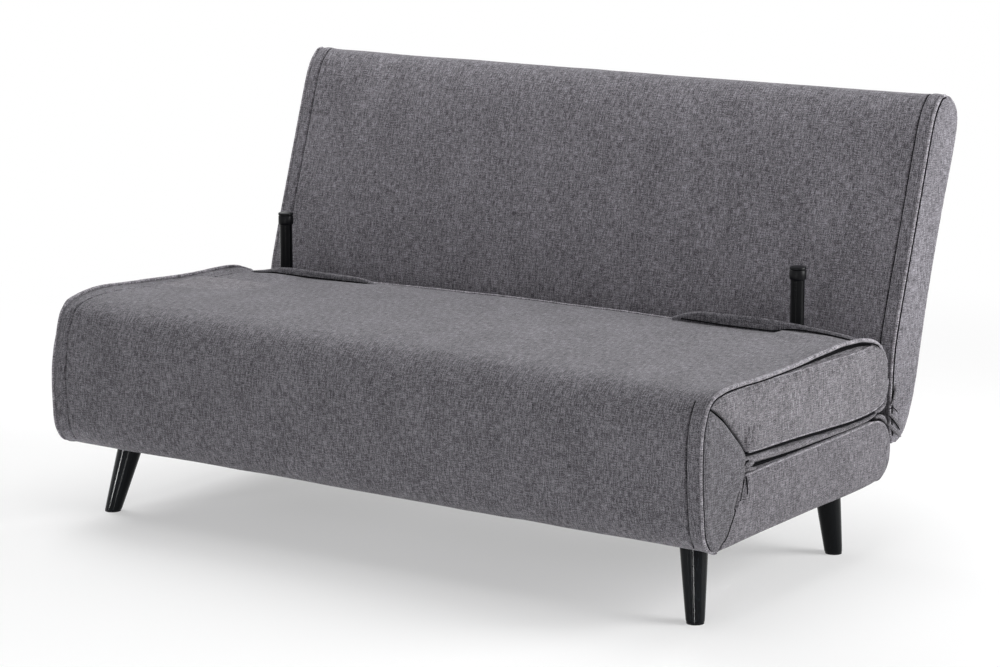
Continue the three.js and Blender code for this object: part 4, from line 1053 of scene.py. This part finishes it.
# Cushions
def sag(x, ring):
    """The left rear of the seat lies lower than the right."""
    if x > 0:
        return ring
    drop = (SAG * (abs(x) / STRIP_X) ** SPREAD_POWER * between(ring[:, 0], *SAG_BEHIND)
            * between(ring[:, 1], *SAG_ABOVE))
    return ring - np.column_stack([np.zeros(len(ring)), drop])


def sew(rings, cords, materials, body):
    for sign, side in SIDES:
        for cord in edge_cords(rings, sign, side, cords, materials):
            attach(cord, body)


def seat_cushion(materials):
    obj, rings, _ = boxed("seat_cushion", (SEAT_UPPER, SEAT_LOWER), (SEAT_UPPER_INSIDE, SEAT_LOWER_INSIDE),
                          materials["side_fabric"], pinch=2.5, seed=51, skin=sag, rows=40, puff=5.5, roll=22,
                          folds=SEAT_FOLDS)
    keep_tip(obj)
    sew(rings, SEAT_CORDS, materials, "seat_section")
    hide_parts("seat_mattress", "seat_pad")
    return obj


def front_cushion(materials):
    def flush(ring):
        return (ring[:, 1] < 200) & (ring[:, 0] > 66)

    obj, _, _ = boxed("front_cushion", (FRONT_OUTER, FRONT_INNER), (FRONT_OUTER_INSIDE, FRONT_INNER_INSIDE),
                      materials["front_side_fabric"], seed=71, rows=36, puff=5.5, roll=18, folds=FRONT_FOLDS,
                      flush=flush, wedge=WEDGE)
    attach(obj, "front_section")
    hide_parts("front_pad", "front_wedge")
    return obj


def base_cushion(materials):
    def flush(ring):
        return (ring[:, 0] < 105) & (ring[:, 0] > 66) & (ring[:, 1] > 142)

    obj, rings, _ = boxed("base_cushion", (BASE_UPPER, BASE_LOWER), (BASE_UPPER_INSIDE, BASE_LOWER_INSIDE),
                          materials["lower_side_fabric"], seed=71, rows=40, puff=5.5, roll=22,
                          folds=BASE_FOLDS, flush=flush)
    keep_tip(obj)
    sew(rings, BASE_CORDS, materials, "base")
    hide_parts("base_mattress")
    return obj


def band(materials):
    obj, _, _ = boxed("seat_band", (BAND_UPPER, BAND_LOWER), (BAND_UPPER_INSIDE, BAND_LOWER_INSIDE),
                      materials["side_fabric"], half=BAND_X, count=BAND_COUNT, pinch=1.0, seed=81, rough=1.6,
                      rows=14, puff=6.5, roll=10)
    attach(obj, "seat_section")
    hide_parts("seat_topper")
    return obj


def board_height(points):
    """Height of points in the side view along the backrest's own board."""
    return (points - BACK_AXIS) @ BACK_UP


def tailored(x, ring):
    """Seam lines near the ends, raised tips at the top corners, and a slight twist of the board."""
    from_end = HALF - abs(x)
    height = board_height(ring)
    normal = outward(ring, closed=True)
    dent = sum(hump(from_end, place, width) * deep for place, width, deep in BACK_DENTS)
    seamed = np.clip(-normal @ BACK_ACROSS, 0, 1) * between(height, *BACK_SEAM_BEGINS)
    raised = BACK_RAISED + x / HALF + BACK_TIP_RAISED * between(from_end, *BACK_TIP)
    raised = raised * between(height, *BACK_TOP)
    twist = BACK_TWIST * x / HALF * smooth_step(height / TWIST_REACH)
    return ring - normal * (dent * seamed)[:, None] + BACK_UP * raised[:, None] + BACK_ACROSS * twist[:, None]


def backrest(materials):
    outlines = (BACK_FRONT, BACK_REAR, BACK_FRONT_MIDDLE, BACK_REAR_MIDDLE)
    paths = [lean_back(curve(path, RING_COUNT)) for path in outlines]
    obj, rings, seams = boxed("back_cushion_cover", paths[:2], paths[2:], materials["back_fabric"],
                              half=BACK_PANEL_X, pinch=2.5, ease=240.0, seed=91, skin=tailored, line=STRIP_X,
                              rows=30, puff=5.0, roll=26, folds=BACK_FOLDS)
    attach(obj, "backrest")
    for sign, side in SIDES:
        for cord in edge_cords(rings, sign, side, BACK_CORDS, materials):
            cord.parent = obj
        # a near-black cord along the seam: its stitches, and painted shade in the seam's hollow
        seam = seams[sign][4:RING_COUNT - 2]
        seam = seam[between(board_height(seam[:, 1:]), *BACK_SEAM_BEGINS) > 0.6]
        seam[:, 1:] += outward(seam[:, 1:]) * 1.2
        stitches_and_shade = tube(f"back_stitches_and_shade_{side}", seam, 1.1, materials["lining"], sides=6)
        stitches_and_shade.parent = obj
    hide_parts("back_cushion", "back_rear_panel")
    return obj


# Small pieces round the gaps: near-black cords that paint the shade in them, and gathers
def paint_shade_lines(material):
    for index, (body, x, radius, path) in enumerate(PAINTED_SHADE_LINES, 1):
        for sign, side in SIDES:
            if sign < 0 and path[-1][1] > HIGH_HINGE[1]:
                continue
            points = at_width(sign * x, curve(sag(sign * x, np.array(path, float)), SHADE_LINE_POINTS))
            cord = tube(f"fold_painted_shade_{index}_{side}", points, radius, material, sides=8)
            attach(cord, body)


def gathers(material):
    swell = np.sin(np.linspace(0.12, math.pi - 0.12, GATHER_POINTS)) ** 0.6
    for index, (body, radius, path) in enumerate(GATHERS, 1):
        reach = GATHER_BACK_X if body == "backrest" else GATHER_X
        for sign, side in SIDES:
            points = at_width(sign * (reach + GATHER_SWELL * swell), curve(path, GATHER_POINTS))
            obj = tube(f"gather_{index}_{side}", points, radius * (0.25 + 0.75 * swell), material)
            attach(obj, body)


def fold_cloth(name, hinge, along, across, tip, depth, ends, bodies, material):
    """A cloth that lines a fold: from one cushion's face down into the fold and up to the other's."""
    hinge, along, across = (np.array(values, float) for values in (hinge, along, across))
    ridge, gap = hinge + along * tip, across * CLOTH_GAP
    path = np.vstack([ends[0], [ridge + gap, hinge + along * depth, ridge - gap], ends[1]])
    path = resample(path, CLOTH_ROWS)
    xs = np.linspace(-CLOTH_HALF, CLOTH_HALF, CLOTH_COLUMNS)
    grid = np.array([at_width(x, path) for x in xs])
    steps = lengths_along(path)
    obj = one_sheet(name, grid, paired(xs[:, None], steps[None, :]), material, solid=False)
    step = np.array([0, *across]) * CLOTH_BEND_REACH
    centre = np.array([0, *hinge])
    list(bodies)
    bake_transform(obj)


# Turned and drawn parts
def lathe(name, profile, material, sides=TURNED_SIDES, lean=(0, 0), place=(0, 0, 0)):
    """A turned piece round the z axis; lean shifts its top sideways, as a splayed leg's."""
    radius, height = np.array(profile, float).T[..., None]
    angle = turns(sides)
    top = height.max()
    grid = np.stack(np.broadcast_arrays(radius * np.cos(angle) + lean[0] * height / top,
                                        radius * np.sin(angle) + lean[1] * height / top, height), axis=-1)
    flat = paired(angle[None, :] * TURNED_MAP_RADIUS, height)
    return one_sheet(name, grid + np.array(place), flat, material, wrap=True, sharp=TURNED_SHARP_ANGLE)


def leg(end, side, sign, material):
    foot, top = LEGS[end]
    obj = lathe(f"turned_leg_{end}_{side}", LEG_PROFILE, material, place=(sign * foot[0], foot[1], 0),
                lean=(sign * (top[0] - foot[0]), top[1] - foot[1]))
    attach(obj, "base")
    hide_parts(f"leg_{end}_{side}")


def support_tube(side, sign, materials):
    place = (sign * SUPPORT_X, SUPPORT_Y, TUBES_RISE + RIGHT_TUBE_RISE * sign)
    for name, profile, slot, replaced in (("support_tube", TUBE_PROFILE, "black_steel", "support_leg"),
                                          ("support_foot", CAP_PROFILE, "black_plastic", "support_cap")):
        obj = lathe(f"{name}_{side}", profile, materials[slot], sides=TUBE_SIDES, place=place)
        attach(obj, "seat_section")
        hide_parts(f"{replaced}_{side}")


# Carried-over CAD nodes
def dress_carried(nodes, materials):
    for name, obj in nodes.items():
        if obj.hide_render:
            continue
        slot = next((slot for slot, words in CARRIED.items() if any(word in name for word in words)), None)
        if slot is None:
            continue
        obj.data.materials.clear()
        obj.data.materials.append(materials[slot])


# Studio
def area_light(name, place, target, width, height, power, spread=180):
    data = bpy.data.lights.new(name, "AREA")
    data.spread = math.radians(spread)
    data.energy = power
    data.shape = "RECTANGLE"
    data.size = width
    data.size_y = height
    light = bpy.data.objects.new(name, data)
    light.location = place
    way = Vector(target) - Vector(place)
    light.rotation_euler = way.to_track_quat("-Z", "Y").to_euler()
    bpy.context.scene.collection.objects.link(light)


def white_world():
    """White where it is seen or mirrored, and a weaker light otherwise."""
    world = bpy.data.worlds.new("studio")
    world.use_nodes = True
    tree = world.node_tree
    rays = node(tree, "ShaderNodeLightPath").outputs
    seen = math_node(tree, "ADD", rays["Is Camera Ray"], rays["Is Glossy Ray"])
    seen = math_node(tree, "ADD", seen, rays["Is Transmission Ray"], clamp=True)
    background = tree.nodes["Background"]
    background.inputs[0].default_value = (1, 1, 1, 1)
    tree.links.new(scaled_and_raised(tree, seen, 1 - WORLD_LIGHT, WORLD_LIGHT), background.inputs[1])
    return world


def studio(material):
    mesh = bpy.data.meshes.new("floor")
    half = FLOOR_SIZE / 2
    corners = [(-half, -half, 0), (half, -half, 0), (half, half, 0), (-half, half, 0)]
    mesh.from_pydata(corners, [], [(0, 1, 2, 3)])
    mesh.materials.append(material)
    floor = bpy.data.objects.new("floor", mesh)
    bpy.context.scene.collection.objects.link(floor)
    for name, values in LIGHTS.items():
        area_light(name, *values)
    bpy.context.scene.world = white_world()
    bpy.context.scene.view_settings.view_transform = "Standard"


def camera():
    data = bpy.data.cameras.new("camera")
    data.lens = CAMERA_LENS
    data.sensor_width = CAMERA_SENSOR
    data.clip_end = CAMERA_REACH
    obj = bpy.data.objects.new("camera", data)
    obj.location = in_frame(CAMERA_PLACE)
    obj.rotation_euler = (math.radians(90 - CAMERA_TILT), 0, math.radians(CAMERA_TURN))
    bpy.context.scene.collection.objects.link(obj)
    bpy.context.scene.camera = obj


def place_seat_frame(joints):
    hinge = next(joint for joint in joints if joint["name"] == "front_fold")["pos_m"]
    ORIGIN_SHIFT[:] = (0, hinge[1] * MM_PER_M - LOW_HINGE[0], hinge[2] * MM_PER_M - LOW_HINGE[1])


def main():
    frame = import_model()
    place_seat_frame(frame["joints"])
    camera()
    materials = make_materials()
    cushions = [build(materials) for build in (seat_cushion, front_cushion, base_cushion, band, backrest)]
    gathers(materials["side_fabric"])
    paint_shade_lines(materials["lining"])
    for piece in [*cushions, dressed_cover(materials)]:
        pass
    for name, values in FOLD_CLOTHS.items():
        fold_cloth(name, *values, materials["side_fabric"])
    for sign, side in SIDES:
        for end in LEGS:
            leg(end, side, sign, materials["black_lacquer"])
        support_tube(side, sign, materials)
    dress_carried(frame["nodes"], materials)
    studio(studio_floor())
    bpy.context.view_layer.update()


main()
